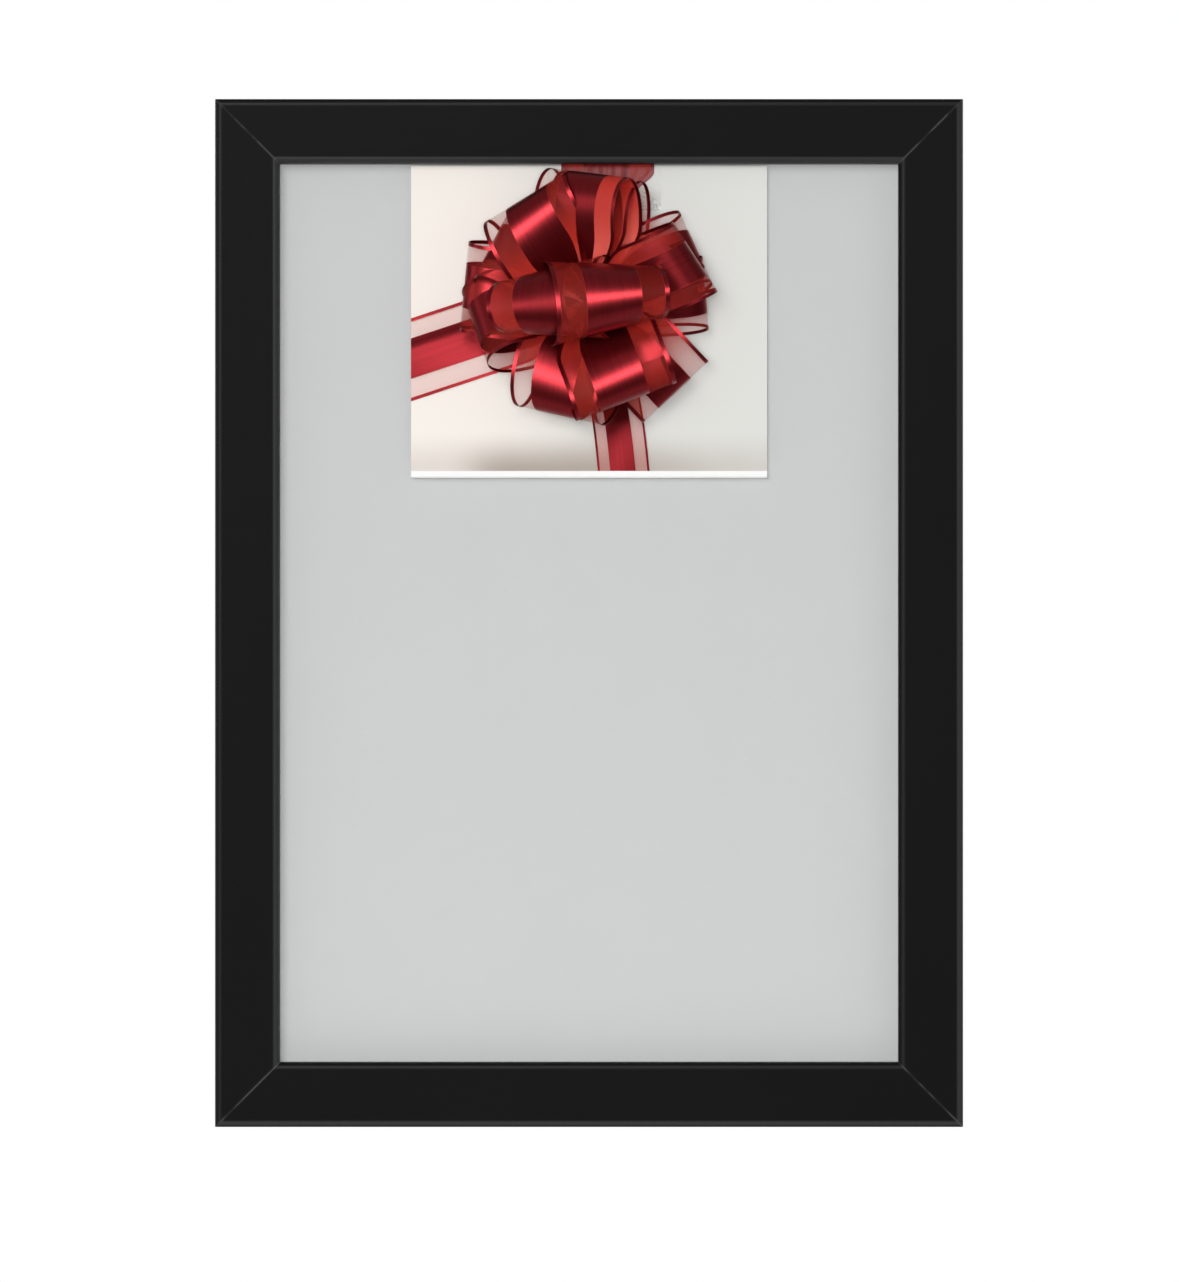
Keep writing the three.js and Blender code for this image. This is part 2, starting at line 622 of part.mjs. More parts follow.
// One side of the frame in its own axes: the rail, its turn buttons and their screws, and one mitre pin.
function frameSide({ name, pin, length, buttons, holes }) {
  const side = new THREE.Group();
  const tools = [
    mitrePin(length, 1, SEAT_GAP),
    mitrePin(length, -1, SEAT_GAP),
    ...buttons.map(({ x }) => pilotHole(x, -LAND_CENTRE)),
    ...holes.map((x) => pilotHole(x, -LAND_CENTRE)),
  ];
  side.add(mesh(`rail_${name}`, railGeometry(length, tools), BLACK_MOULDING));
  side.add(mesh(`v_nail_${pin}`, mitrePin(length, 1, 0), STEEL));
  for (const { x, label } of buttons) {
    const button = mesh(`turn_button_${label}`, turnButtonGeometry(), STEEL);
    button.position.set(x, 0, -LAND_CENTRE);
    const screw = mesh(`turn_button_screw_${label}`, screwGeometry(), STEEL);
    screw.position.set(x, RAIL_BACK + BUTTON_THICKNESS + 2 * SEAT_GAP, -LAND_CENTRE);
    side.add(button, screw);
  }
  return side;
}

// A hanger in the axes of its side rail, at a place along the rail.
function hanger(label, x) {
  const eye = -LAND_CENTRE;
  const axis = eye - HANGER_EYE_TO_BAR;
  const strap = mesh(`hanger_strap_${label}`, hangerStrapGeometry(), STEEL);
  strap.position.set(x, RING_AXIS, axis);
  const ring = mesh(`hanger_ring_${label}`, hangerRingGeometry(), STEEL);
  ring.position.set(x, RING_AXIS, axis);
  const screw = mesh(`hanger_screw_${label}`, screwGeometry(), STEEL);
  screw.position.set(x, RAIL_BACK + HANGER_STRAP_THICKNESS + 2 * SEAT_GAP, eye);
  return [strap, ring, screw];
}

function frameGroup() {
  const group = new THREE.Group();
  const top = frameSide({
    name: "top",
    pin: "top_right",
    length: FRAME_WIDTH,
    buttons: [{ x: 0, label: "top" }],
    holes: [],
  });
  top.position.z = FRAME_HEIGHT / 2;
  const right = frameSide({
    name: "right",
    pin: "bottom_right",
    length: FRAME_HEIGHT,
    buttons: [
      { x: -BUTTON_OFF_CENTRE, label: "right_upper" },
      { x: BUTTON_OFF_CENTRE, label: "right_lower" },
    ],
    holes: [-HANGER_HEIGHT],
  });
  right.add(...hanger("right", -HANGER_HEIGHT));
  right.rotation.y = Math.PI / 2;
  right.position.x = FRAME_WIDTH / 2;
  const bottom = frameSide({
    name: "bottom",
    pin: "bottom_left",
    length: FRAME_WIDTH,
    buttons: [{ x: 0, label: "bottom" }],
    holes: [],
  });
  for (const [label, way] of [["left", 1], ["right", -1]]) {
    const bumper = mesh(`bumper_${label}`, bumperGeometry(), RUBBER);
    bumper.position.set(way * (FRAME_WIDTH / 2 - BUMPER_FROM_SIDE), 0, -LAND_CENTRE);
    bottom.add(bumper);
  }
  bottom.rotation.y = Math.PI;
  bottom.position.z = -FRAME_HEIGHT / 2;
  const left = frameSide({
    name: "left",
    pin: "top_left",
    length: FRAME_HEIGHT,
    buttons: [
      { x: BUTTON_OFF_CENTRE, label: "left_upper" },
      { x: -BUTTON_OFF_CENTRE, label: "left_lower" },
    ],
    holes: [HANGER_HEIGHT],
  });
  left.add(...hanger("left", HANGER_HEIGHT));
  left.rotation.y = -Math.PI / 2;
  left.position.x = -FRAME_WIDTH / 2;
  group.add(top, right, bottom, left);
  return group;
}

function sheetGroup() {
  const group = new THREE.Group();
  const sheet = rectangle(SHEET_WIDTH, SHEET_HEIGHT);
  group.add(
    mesh("glazing", plate(sheet, GLAZING_THICKNESS, GLAZING_BACK), CLEAR),
    mesh("mount_board", plate(sheet, MOUNT_THICKNESS, MOUNT_BACK), GREY_BOARD),
    mesh("backing_board", plate(sheet, BACKING_THICKNESS, BACKING_BACK), HARDBOARD),
  );
  return group;
}

// The tucked end of the strap stays behind the rail's lip; everything else here hangs from it.
function bowGroup() {
  const group = new THREE.Group();
  const tucked = rectangle(STRAP_WIDTH, STRAP_TUCK);
  const tuck = mesh("strap_tuck", plate(tucked, STRAP_THICKNESS, STRAP_BACK), RED_RIBBON);
  tuck.position.set(STRAP_OFFSET, 0, SIGHT_TOP + SEAT_GAP + STRAP_TUCK / 2);
  const bow = mesh("bow_ribbon", bowGeometry(), RED_RIBBON);
  bow.position.set(0, BOW_DEPTH, BOW_HEIGHT);
  const tails = new THREE.Group();
  tails.position.z = BOW_HEIGHT;
  tails.add(
    mesh("bow_strap", plate(strapShape(), STRAP_THICKNESS, STRAP_BACK), RED_RIBBON),
    mesh("tail_left", plate(tailLeftShape(), TAIL_THICKNESS, TAIL_BACK), RED_RIBBON),
    mesh("tail_lower", plate(tailLowerShape(), TAIL_THICKNESS, TAIL_BACK), RED_RIBBON),
    mesh("gather_tie", tieGeometry(), RED_THREAD),
  );
  group.add(
    tuck,
    mesh("bow_card", cardGeometry(), WHITE_CARD),
    mesh("strap_tape", tapeGeometry(), CLEAR),
    bow,
    tails,
  );
  return group;
}

const part = new THREE.Group();
part.name = "ribbon_hanging_picture_frame";
const assembly = new THREE.Group();
assembly.add(frameGroup(), sheetGroup(), bowGroup());
assembly.position.z = -HANGER_HEIGHT;
part.add(assembly);

export default part;
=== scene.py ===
"""Dresses the ribbon hanging picture frame: its rails, sheets, back fittings, white card and red bow."""

from __future__ import annotations

import logging
import math
from collections.abc import Callable, Iterator, Sequence
from contextlib import contextmanager
from dataclasses import dataclass, field
from enum import Enum, StrEnum

import bmesh
import bpy
import numpy as np
from mathutils import Matrix, Vector


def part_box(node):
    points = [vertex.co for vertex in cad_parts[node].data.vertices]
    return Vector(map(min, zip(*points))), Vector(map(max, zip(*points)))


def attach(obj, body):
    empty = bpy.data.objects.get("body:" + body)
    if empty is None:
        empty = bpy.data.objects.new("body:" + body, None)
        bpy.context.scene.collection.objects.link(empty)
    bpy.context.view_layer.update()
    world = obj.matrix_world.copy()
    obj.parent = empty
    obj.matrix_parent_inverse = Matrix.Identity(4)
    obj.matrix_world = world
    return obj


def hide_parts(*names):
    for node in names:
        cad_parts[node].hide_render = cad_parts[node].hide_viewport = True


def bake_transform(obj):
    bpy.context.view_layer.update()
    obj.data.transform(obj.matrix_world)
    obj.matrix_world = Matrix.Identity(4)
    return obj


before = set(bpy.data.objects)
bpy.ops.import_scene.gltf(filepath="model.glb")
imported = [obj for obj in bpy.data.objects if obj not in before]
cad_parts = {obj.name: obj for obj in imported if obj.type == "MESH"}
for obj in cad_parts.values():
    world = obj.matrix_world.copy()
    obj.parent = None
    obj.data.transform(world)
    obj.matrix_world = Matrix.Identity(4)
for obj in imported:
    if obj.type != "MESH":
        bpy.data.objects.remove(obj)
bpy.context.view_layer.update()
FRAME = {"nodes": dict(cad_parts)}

LOG = logging.getLogger("ribbon_frame")
MM = 0.001

# Places closer than this are the same, and a face whose normal is this far along an axis faces that way.
TOUCH = 1e-6
FACING = 0.9

# Edges are shaded smooth under these angles, in degrees.
HARD_ANGLE = 35.0
CARD_ANGLE = 40.0
STEM_ANGLE = 50.0
SOFT_ANGLE = 60.0

# The mesh attribute that holds how far the sheer stripes are drawn together.
VEIL = "veil"

# Turns from lying flat to facing the front and to facing the wall.
TO_FRONT = (math.pi / 2, 0, 0)
TO_WALL = (-math.pi / 2, 0, 0)
STAND_UP = Matrix.Rotation(-math.pi / 2, 4, "X")
UNMOVED = Matrix.Identity(4)

Piece = bpy.types.Object
Material = bpy.types.Material
Socket = bpy.types.NodeSocket
Colour = tuple[float, float, float]
Route = Callable[[np.ndarray, np.ndarray], np.ndarray]


class Body(StrEnum):
    """The bodies that pieces ride on."""

    FRAME = "frame"
    BOW = "hanging_bow"


class Slot(StrEnum):
    """The finishes that the record names."""

    MOULDING = "moulding"
    STEEL = "steel"
    BUMPER = "bumper"
    CARD = "card"
    RIBBON = "ribbon"
    THREAD = "thread"
    TAPE = "tape"


class Reach(Enum):
    """Which surfaces a lamp lights."""

    ALL = "all"
    MATT = "matt"
    GLOSS = "gloss"


class Pick(StrEnum):
    """What a selection in edit mode holds."""

    VERTS = "VERT"
    EDGES = "EDGE"
    FACES = "FACE"


class Side(Enum):
    """The four sides of the frame, as the turn about the depth axis that brings the top side there."""

    TOP = 0.0
    RIGHT = math.pi / 2
    BOTTOM = math.pi
    LEFT = -math.pi / 2

    @property
    def label(self) -> str:
        """The side's name in lower case."""
        return self.name.lower()


class Wire:
    """A socket that can be used in arithmetic: each operation adds one Math node."""

    def __init__(self, graph: Graph, socket: Socket) -> None:
        """Wraps a socket of a graph."""
        self.graph = graph
        self.socket = socket

    def _math(self, operation: str, *values: Wire | float) -> Wire:
        """Adds a Math node on values in their order."""
        made = self.graph.node("ShaderNodeMath", {"operation": operation}, dict(enumerate(values)))
        return Wire(self.graph, made.outputs[0])

    def __add__(self, other: Wire | float) -> Wire:
        """self + other."""
        return self._math("ADD", self, other)

    __radd__ = __add__

    def __sub__(self, other: Wire | float) -> Wire:
        """self - other."""
        return self._math("SUBTRACT", self, other)

    def __rsub__(self, other: float) -> Wire:
        """other - self."""
        return self._math("SUBTRACT", other, self)

    def __mul__(self, other: Wire | float) -> Wire:
        """self * other."""
        return self._math("MULTIPLY", self, other)

    __rmul__ = __mul__

    def __truediv__(self, other: Wire | float) -> Wire:
        """self / other."""
        return self._math("DIVIDE", self, other)

    def __rtruediv__(self, other: float) -> Wire:
        """other / self."""
        return self._math("DIVIDE", other, self)

    def __abs__(self) -> Wire:
        """The size of self without its sign."""
        return self._math("ABSOLUTE", self)

    def low(self, other: Wire | float) -> Wire:
        """The smaller of the two."""
        return self._math("MINIMUM", self, other)

    def high(self, other: Wire | float) -> Wire:
        """The larger of the two."""
        return self._math("MAXIMUM", self, other)

    def sine(self) -> Wire:
        """The sine of self in radians."""
        return self._math("SINE", self)

    def rise(self, start: float, end: float) -> Wire:
        """A smooth step from 0 at start to 1 at end; end may be the lower one.

        Args:
            start: where the step leaves 0.
            end: where the step reaches 1.

        Returns:
            The stepped value.
        """
        low, high = min(start, end), max(start, end)
        made = self.graph.node(
            "ShaderNodeMapRange",
            {"interpolation_type": "SMOOTHSTEP"},
            {"Value": self, "From Min": low, "From Max": high},
        )
        step = Wire(self.graph, made.outputs[0])
        return step if start < end else 1 - step

    def band(self, start: float, end: float, soft: float) -> Wire:
        """1 between start and end and 0 outside, with soft borders.

        Args:
            start: the lower border.
            end: the upper border.
            soft: half the width of a border.

        Returns:
            The mask.
        """
        return self.rise(start - soft, start + soft) * self.rise(end + soft, end - soft)


class Graph:
    """A node tree, emptied, and the way to add nodes to it."""

    def __init__(self, tree: bpy.types.NodeTree) -> None:
        """Empties the tree."""
        self.tree = tree
        tree.nodes.clear()

    def node(
        self,
        kind: str,
        settings: dict[str, object] | None = None,
        inputs: dict[int | str, object] | None = None,
    ) -> bpy.types.Node:
        """Adds a node, sets its settings and then its sockets.

        Args:
            kind: the node's type.
            settings: properties of the node.
            inputs: a value, wire or socket for each named or numbered input.

        Returns:
            The node.
        """
        made = self.tree.nodes.new(kind)
        for name, value in (settings or {}).items():
            setattr(made, name, value)
        for name, value in (inputs or {}).items():
            if isinstance(value, Wire):
                value = value.socket
            if isinstance(value, Socket):
                self.tree.links.new(value, made.inputs[name])
            else:
                made.inputs[name].default_value = value
        return made

    def split(self, vector: Socket) -> tuple[Wire, Wire, Wire]:
        """The three parts of a vector."""
        made = self.node("ShaderNodeSeparateXYZ", inputs={0: vector})
        return tuple(Wire(self, output) for output in made.outputs)


class Shader(Graph):
    """A material with one Principled surface, and the nodes that feed it."""

    def __init__(self, name: str) -> None:
        """Makes an empty material of that name."""
        self.material = bpy.data.materials.new(name)
        self.material.use_nodes = True
        super().__init__(self.material.node_tree)

    def coordinates(self) -> Socket:
        """The object coordinates as one vector."""
        return self.node("ShaderNodeTexCoord").outputs["Object"]

    def place(self) -> tuple[Wire, Wire, Wire]:
        """The three object coordinates of the shaded point, in metres."""
        return self.split(self.coordinates())

    def along_ribbon(self) -> tuple[Wire, Wire]:
        """How far across the ribbon and how far along it the shaded point lies."""
        across, along, _ = self.split(self.node("ShaderNodeUVMap").outputs[0])
        return across, along

    def attribute(self, name: str) -> Wire:
        """A number that the mesh carries at its points."""
        return Wire(self, self.node("ShaderNodeAttribute", {"attribute_name": name}).outputs["Fac"])

    def vector(self, x: Wire | float, y: Wire | float, z: Wire | float) -> Socket:
        """One vector from three values."""
        return self.node("ShaderNodeCombineXYZ", inputs={0: x, 1: y, 2: z}).outputs[0]

    def noise(self, scale: float, detail: float = 3.0, at: Socket | None = None) -> Wire:
        """Soft noise from 0 to 1.

        Args:
            scale: how fine it is.
            detail: how many finer layers it has.
            at: the vector that it follows, or none for the object coordinates.

        Returns:
            The noise.
        """
        inputs = {"Vector": at or self.coordinates(), "Scale": scale, "Detail": detail}
        return Wire(self, self.node("ShaderNodeTexNoise", inputs=inputs).outputs[0])

    def mix(self, share: Wire, first: Colour | Wire, second: Colour | Wire) -> Wire:
        """The first colour where share is 0 and the second where it is 1."""
        full = [c if isinstance(c, Wire) else (*c, 1.0) for c in (first, second)]
        made = self.node("ShaderNodeMix", {"data_type": "RGBA"}, {0: share, 6: full[0], 7: full[1]})
        return Wire(self, made.outputs[2])

    def bump(self, height: Wire, strength: float, distance: float) -> Socket:
        """The surface normal over a height."""
        inputs = {"Height": height, "Strength": strength, "Distance": distance}
        return self.node("ShaderNodeBump", inputs=inputs).outputs[0]

    def finish(self, **inputs: object) -> Material:
        """Closes the material with a Principled surface.

        Args:
            **inputs: values or wires for the surface's sockets, spaces written as underscores.

        Returns:
            The material.
        """
        sockets = {name.replace("_", " "): value for name, value in inputs.items()}
        surface = self.node("ShaderNodeBsdfPrincipled", inputs=sockets)
        self.node("ShaderNodeOutputMaterial", inputs={"Surface": surface.outputs[0]})
        return self.material


def shade(colour: Colour, by: float) -> Colour:
    """A colour made lighter or darker."""
    return tuple(by * part for part in colour)


@dataclass(frozen=True)
class SheenLine:
    """A line of painted sheen along the shoulder of a rail, by how far from the rail's edge it starts and
    stops.
    """

    start: float
    stop: float
    widening: float
    soft: float = 0.9 * MM

    def mask(self, depth: Wire, wide: Wire) -> Wire:
        """1 on the line and 0 off it.

        Args:
            depth: how far a point lies from the rail's edge.
            wide: 1 where the line starts nearer to the edge.

        Returns:
            The mask.
        """
        begun = (depth + wide * self.widening).rise(self.start, self.start + self.soft)
        return begun * depth.rise(self.stop, self.stop - self.soft)


@dataclass(frozen=True)
class Lacquer:
    """Satin black lacquer with a paler sheen painted along the rails' shoulders, strongest on those that
    face right or down, and a highlight painted along each mitre seam.
    """

    half_width: float
    half_height: float
    middle: float
    rail_width: float
    front: float
    face: Colour = (0.0058, 0.0058, 0.0059)
    # Painted sheen colours for the shoulders' roundings: paler, and palest on those that face right or down.
    painted_sheen: Colour = (0.018, 0.018, 0.0185)
    painted_sheen_strong: Colour = (0.034, 0.034, 0.0345)
    # A paler line painted along each mitre seam as a highlight.
    joint: Colour = (0.082, 0.082, 0.084)
    outer: SheenLine = SheenLine(0.5 * MM, 2.4 * MM, 0.5 * MM)
    inner: SheenLine = SheenLine(0.3 * MM, 2.3 * MM, 0.9 * MM)
    sheen_full_depth: float = 1.6 * MM
    sheen_clear_depth: float = 3.2 * MM
    seam_half: float = 0.12 * MM
    seam_fade: float = 0.55 * MM
    mitre_blur: float = 0.1 * MM
    grain_scale: float = 2200.0
    grain_stretch: float = 0.06
    blotch_scale: float = 160.0
    cloud_scale: float = 24.0

    def make(self) -> Material:
        """Returns the material."""
        shader = Shader("black_lacquer")
        x, y, z = shader.place()
        to_side = self.half_width - abs(x)
        to_end = self.half_height - abs(z - self.middle)
        depth = to_side.low(to_end)
        on_side = (to_end - to_side).rise(-self.mitre_blur, self.mitre_blur)
        right_or_low = (on_side * x + (1 - on_side) * (self.middle - z)).rise(-MM, MM)
        left_or_high = 1 - right_or_low
        outer = self.outer.mask(depth, right_or_low)
        inner = self.inner.mask(self.rail_width - depth, left_or_high)
        on_front = y.rise(self.front + self.sheen_clear_depth, self.front + self.sheen_full_depth)
        # Masks of the painted sheen: shoulder on every rounding, most on the roundings that face right or
        # down.
        shoulder = outer.high(inner) * on_front
        most = outer * right_or_low + inner * left_or_high
        # Painted highlight along each mitre seam, broken up by blotches.
        seam = abs(to_side - to_end).rise(self.seam_fade, self.seam_half)
        seam = seam * (0.30 + 0.70 * shader.noise(self.blotch_scale).rise(0.36, 0.60))
        end_grain = shader.noise(self.grain_scale, at=shader.vector(x * self.grain_stretch, y, z))
        side_grain = shader.noise(self.grain_scale, at=shader.vector(x, y, z * self.grain_stretch))
        grain = end_grain + (side_grain - end_grain) * on_side
        tone = shader.mix(shader.noise(self.cloud_scale), self.face, shade(self.face, 1.25))
        tone = shader.mix(shoulder, tone, shader.mix(most, self.painted_sheen, self.painted_sheen_strong))
        tone = shader.mix(seam, tone, self.joint)
        return shader.finish(
            Base_Color=tone,
            Roughness=0.50 + (grain - 0.5) * 0.10 - shoulder * 0.10,
            Coat_Weight=shoulder * 0.04 + most * 0.08,
            Coat_Roughness=0.30,
            Specular_IOR_Level=0.042,
            Normal=shader.bump(grain, 0.10, 0.05 * MM),
        )


@dataclass(frozen=True)
class Glazing:
    """Clear picture glazing with a faint surface gloss."""

    tint: Colour = (0.80, 0.86, 0.85)
    haze_scale: float = 40.0

    def make(self) -> Material:
        """Returns the material."""
        shader = Shader("clear_glazing")
        haze = shader.noise(self.haze_scale)
        return shader.finish(
            Base_Color=(*self.tint, 1.0),
            Roughness=0.012 + haze * 0.012,
            Specular_IOR_Level=0.6,
            Alpha=0.05 + haze * 0.02,
        )


@dataclass(frozen=True)
class MountBoard:
    """Uncoated grey mount board with short pale and dark fibres."""

    tone: Colour = (0.615, 0.615, 0.615)
    contrast: float = 0.03
    fibre_scale: float = 1900.0
    fibre_stretch: float = 0.35
    cloud_scale: float = 30.0

    def make(self) -> Material:
        """Returns the material."""
        shader = Shader("grey_mount_board")
        x, y, z = shader.place()
        fibre = shader.noise(self.fibre_scale, 4.0, shader.vector(x, y, z * self.fibre_stretch))
        mottle = (fibre - 0.5) * 0.5 + (shader.noise(self.cloud_scale) - 0.5) * 0.3 + 0.5
        pale, dark = shade(self.tone, 1 + self.contrast), shade(self.tone, 1 - self.contrast)
        return shader.finish(
            Base_Color=shader.mix(mottle, dark, pale),
            Roughness=0.86 + (fibre - 0.5) * 0.1,
            Specular_IOR_Level=0.2,
            Normal=shader.bump(fibre, 0.15, 0.04 * MM),
        )


@dataclass(frozen=True)
class Hardboard:
    """Raw hardboard: pressed brown wood fibre with darker flecks."""

    pale: Colour = (0.33, 0.205, 0.105)
    dark: Colour = (0.17, 0.092, 0.042)
    fleck: Colour = (0.085, 0.045, 0.022)
    fibre_scale: float = 620.0
    cloud_scale: float = 28.0
    straw_scale: float = 1500.0
    straw_stretch: float = 0.3

    def make(self) -> Material:
        """Returns the material."""
        shader = Shader("raw_hardboard")
        x, y, z = shader.place()
        fibre = shader.noise(self.fibre_scale, 8.0)
        cloud = shader.noise(self.cloud_scale, 4.0)
        straw = shader.noise(self.straw_scale, 2.0, shader.vector(x * self.straw_stretch, y, z))
        tone = shader.mix((fibre * 0.6 + cloud * 0.4).rise(0.28, 0.72), self.dark, self.pale)
        tone = shader.mix(straw.rise(0.63, 0.72) * 0.7, tone, self.fleck)
        return shader.finish(
            Base_Color=tone,
            Roughness=0.78 + (fibre - 0.5) * 0.2,
            Specular_IOR_Level=0.25,
            Normal=shader.bump(fibre + straw * 0.5, 0.35, 0.12 * MM),
        )


@dataclass(frozen=True)
class ZincPlate:
    """Bright zinc plate on pressed steel, with fine tumbling marks."""

    tone: Colour = (0.62, 0.63, 0.65)
    dull: Colour = (0.47, 0.47, 0.46)
    cloud_scale: float = 420.0
    mark_scale: float = 5200.0

    def make(self) -> Material:
        """Returns the material."""
        shader = Shader("zinc_plate")
        cloud = shader.noise(self.cloud_scale)
        marks = shader.noise(self.mark_scale, 2.0)
        return shader.finish(
            Base_Color=shader.mix(cloud.rise(0.35, 0.7), self.tone, self.dull),
            Metallic=1.0,
            Roughness=0.26 + cloud * 0.16 + (marks - 0.5) * 0.08,
            Normal=shader.bump(marks, 0.12, 0.02 * MM),
        )


@dataclass(frozen=True)
class SoftRubber:
    """Soft black rubber with a dusty bloom."""

    tone: Colour = (0.022, 0.022, 0.023)
    bloom: Colour = (0.060, 0.059, 0.057)
    dust_scale: float = 900.0

    def make(self) -> Material:
        """Returns the material."""
        shader = Shader("bumper_rubber")
        dust = shader.noise(self.dust_scale, 5.0)
        return shader.finish(
            Base_Color=shader.mix(dust.rise(0.45, 0.75), self.tone, self.bloom),
            Roughness=0.62 + dust * 0.2,
            Specular_IOR_Level=0.3,
            Normal=shader.bump(dust, 0.2, 0.05 * MM),
        )


@dataclass(frozen=True)
class WhiteCard:
    """Smooth white card, painted lighter and warmer to the left and darker and cooler to the right as uneven
    light falls, with a painted grey shade above the hem.
    """

    left: float
    right: float
    hem_top: float
    # Painted light and shade: lighter and warmer to the left, darker and cooler to the right, and grey above
    # the hem.
    cool_shade: Colour = (0.745, 0.750, 0.715)
    warm_light: Colour = (0.930, 0.875, 0.815)
    painted_shade: Colour = (0.460, 0.400, 0.350)
    hem: Colour = (0.960, 0.960, 0.955)
    hem_blur: float = 0.15 * MM
    grey_from: float = 13 * MM
    grey_to: float = 0.5 * MM
    grey_drift: float = 4 * MM
    cloud_scale: float = 26.0
    fibre_scale: float = 2600.0

    def make(self) -> Material:
        """Returns the material."""
        shader = Shader("white_card")
        x, _, z = shader.place()
        cloud = shader.noise(self.cloud_scale, 2.0)
        fibre = shader.noise(self.fibre_scale, 3.0)
        # Painted light falling off from left to right.
        share = (x - self.left) / (self.right - self.left) + (cloud - 0.5) * 0.25
        tone = shader.mix(share.rise(0.15, 0.62), self.warm_light, self.cool_shade)
        # Painted shade above the hem, strongest left of the middle.
        height = z - self.hem_top + (cloud - 0.5) * self.grey_drift
        most_at_left = 0.35 + 0.65 * share.rise(0.05, 0.30) * share.rise(1.0, 0.40)
        tone = shader.mix(height.rise(self.grey_from, self.grey_to) * most_at_left, tone, self.painted_shade)
        on_hem = z.rise(self.hem_top + self.hem_blur, self.hem_top - self.hem_blur)
        return shader.finish(
            Base_Color=shader.mix(on_hem, tone, self.hem),
            Roughness=0.62 + (fibre - 0.5) * 0.12,
            Specular_IOR_Level=0.3,
            Normal=shader.bump(fibre, 0.10, 0.03 * MM),
        )


@dataclass(frozen=True)
class SheerRibbon:
    """Red ribbon in stripes: a satin middle, a sheer stripe on each side of it and narrow satin edges."""

    label: str = "sheer_and_satin_ribbon"
    satin: Colour = (0.255, 0.012, 0.017)
    satin_deep: Colour = (0.200, 0.009, 0.013)
    sheer: Colour = (0.77, 0.045, 0.030)
    # By default stacked sheer layers are painted brighter and more orange than one layer: a painted glow
    # that stands in for light shining through them.
    sheer_stacked: Colour = (1.0, 0.17, 0.13)
    satin_from: float = 0.242
    satin_to: float = 0.729
    edge: float = 0.040
    border: float = 0.004
    warp_threads: int = 80
    weft_threads: int = 60
    cover_open: float = 0.085
    cover_drawn: float = 0.30
    metal: float = 0.90
    gloss: float = 0.35
    sheer_rough: float = 0.56

    def make(self) -> Material:
        """Returns the material."""
        shader = Shader(self.label)
        across, along = shader.along_ribbon()
        drawn = shader.attribute(VEIL)
        middle = across.band(self.satin_from, self.satin_to, self.border)
        satin = middle.high(1 - across.band(self.edge, 1 - self.edge, self.border))
        streak = shader.noise(1.0, 4.0, shader.vector(across * 60.0, along * 0.8, 0.0))
        crease = shader.noise(1.0, 1.0, shader.vector(across * 5.0, along * 1.6, 0.0))
        warp = (across * (2 * math.pi * self.warp_threads)).sine()
        weft = (along * (2 * math.pi * self.weft_threads)).sine()
        weave = warp * weft * 0.5 + 0.5
        tone = shader.mix(streak.rise(0.3, 0.7), self.satin_deep, self.satin)
        # Where the sheer is drawn together it takes the stacked colour, which by default holds a painted
        # glow.
        sheer = shader.mix(drawn.rise(1.3, 2.6), self.sheer, self.sheer_stacked)
        veil = (self.cover_open + drawn * self.cover_drawn) * (0.8 + weave * 0.4)
        height = streak * 0.35 + crease * 1.5 + weave * (1 - satin) * 0.3
        return shader.finish(
            Base_Color=shader.mix(satin, sheer, tone),
            Metallic=satin * self.metal,
            Roughness=self.sheer_rough - satin * (self.sheer_rough - self.gloss) + (streak - 0.5) * 0.06,
            Alpha=satin + (1 - satin) * veil,
            Coat_Weight=satin * (0.11 * self.metal),
            Coat_Roughness=0.36,
            Specular_IOR_Level=0.35,
            Normal=shader.bump(height, 0.16, 0.12 * MM),
        )


@dataclass(frozen=True)
class TwistedThread:
    """Red two-ply gathering cord."""

    tone: Colour = (0.26, 0.010, 0.018)
    deep: Colour = (0.10, 0.004, 0.008)
    fuzz_scale: float = 5200.0

    def make(self) -> Material:
        """Returns the material."""
        shader = Shader("gathering_thread")
        fuzz = shader.noise(self.fuzz_scale, 4.0)
        return shader.finish(
            Base_Color=shader.mix(fuzz, self.deep, self.tone),
            Roughness=0.7 + fuzz * 0.2,
            Normal=shader.bump(fuzz, 0.3, 0.05 * MM),
        )


@dataclass(frozen=True)
class ClearTape:
    """Clear adhesive film, crinkled, with glints at its lower right corner."""

    right: float
    bottom: float
    tone: Colour = (0.86, 0.86, 0.84)
    crinkle_scale: float = 320.0
    glint_scale: float = 620.0

    def make(self) -> Material:
        """Returns the material."""
        shader = Shader("clear_tape")
        x, y, z = shader.place()
        crinkle = shader.noise(self.crinkle_scale, 3.0, shader.vector(x, y, z * 0.45))
        slanting = shader.vector(x * 0.7 + z * 0.7, y, z * 0.5)
        glint = shader.noise(self.glint_scale, 3.0, slanting).rise(0.52, 0.66)
        corner = x.rise(self.right - 9 * MM, self.right - 5 * MM)
        corner = corner * z.rise(self.bottom + 7 * MM, self.bottom + 3 * MM)
        return shader.finish(
            Base_Color=(*self.tone, 1.0),
            Roughness=0.16 + crinkle * 0.10,
            Specular_IOR_Level=0.5,
            Alpha=0.014 + corner * (0.10 + glint * 0.85),
            Normal=shader.bump(crinkle, 0.15, 0.20 * MM),
        )


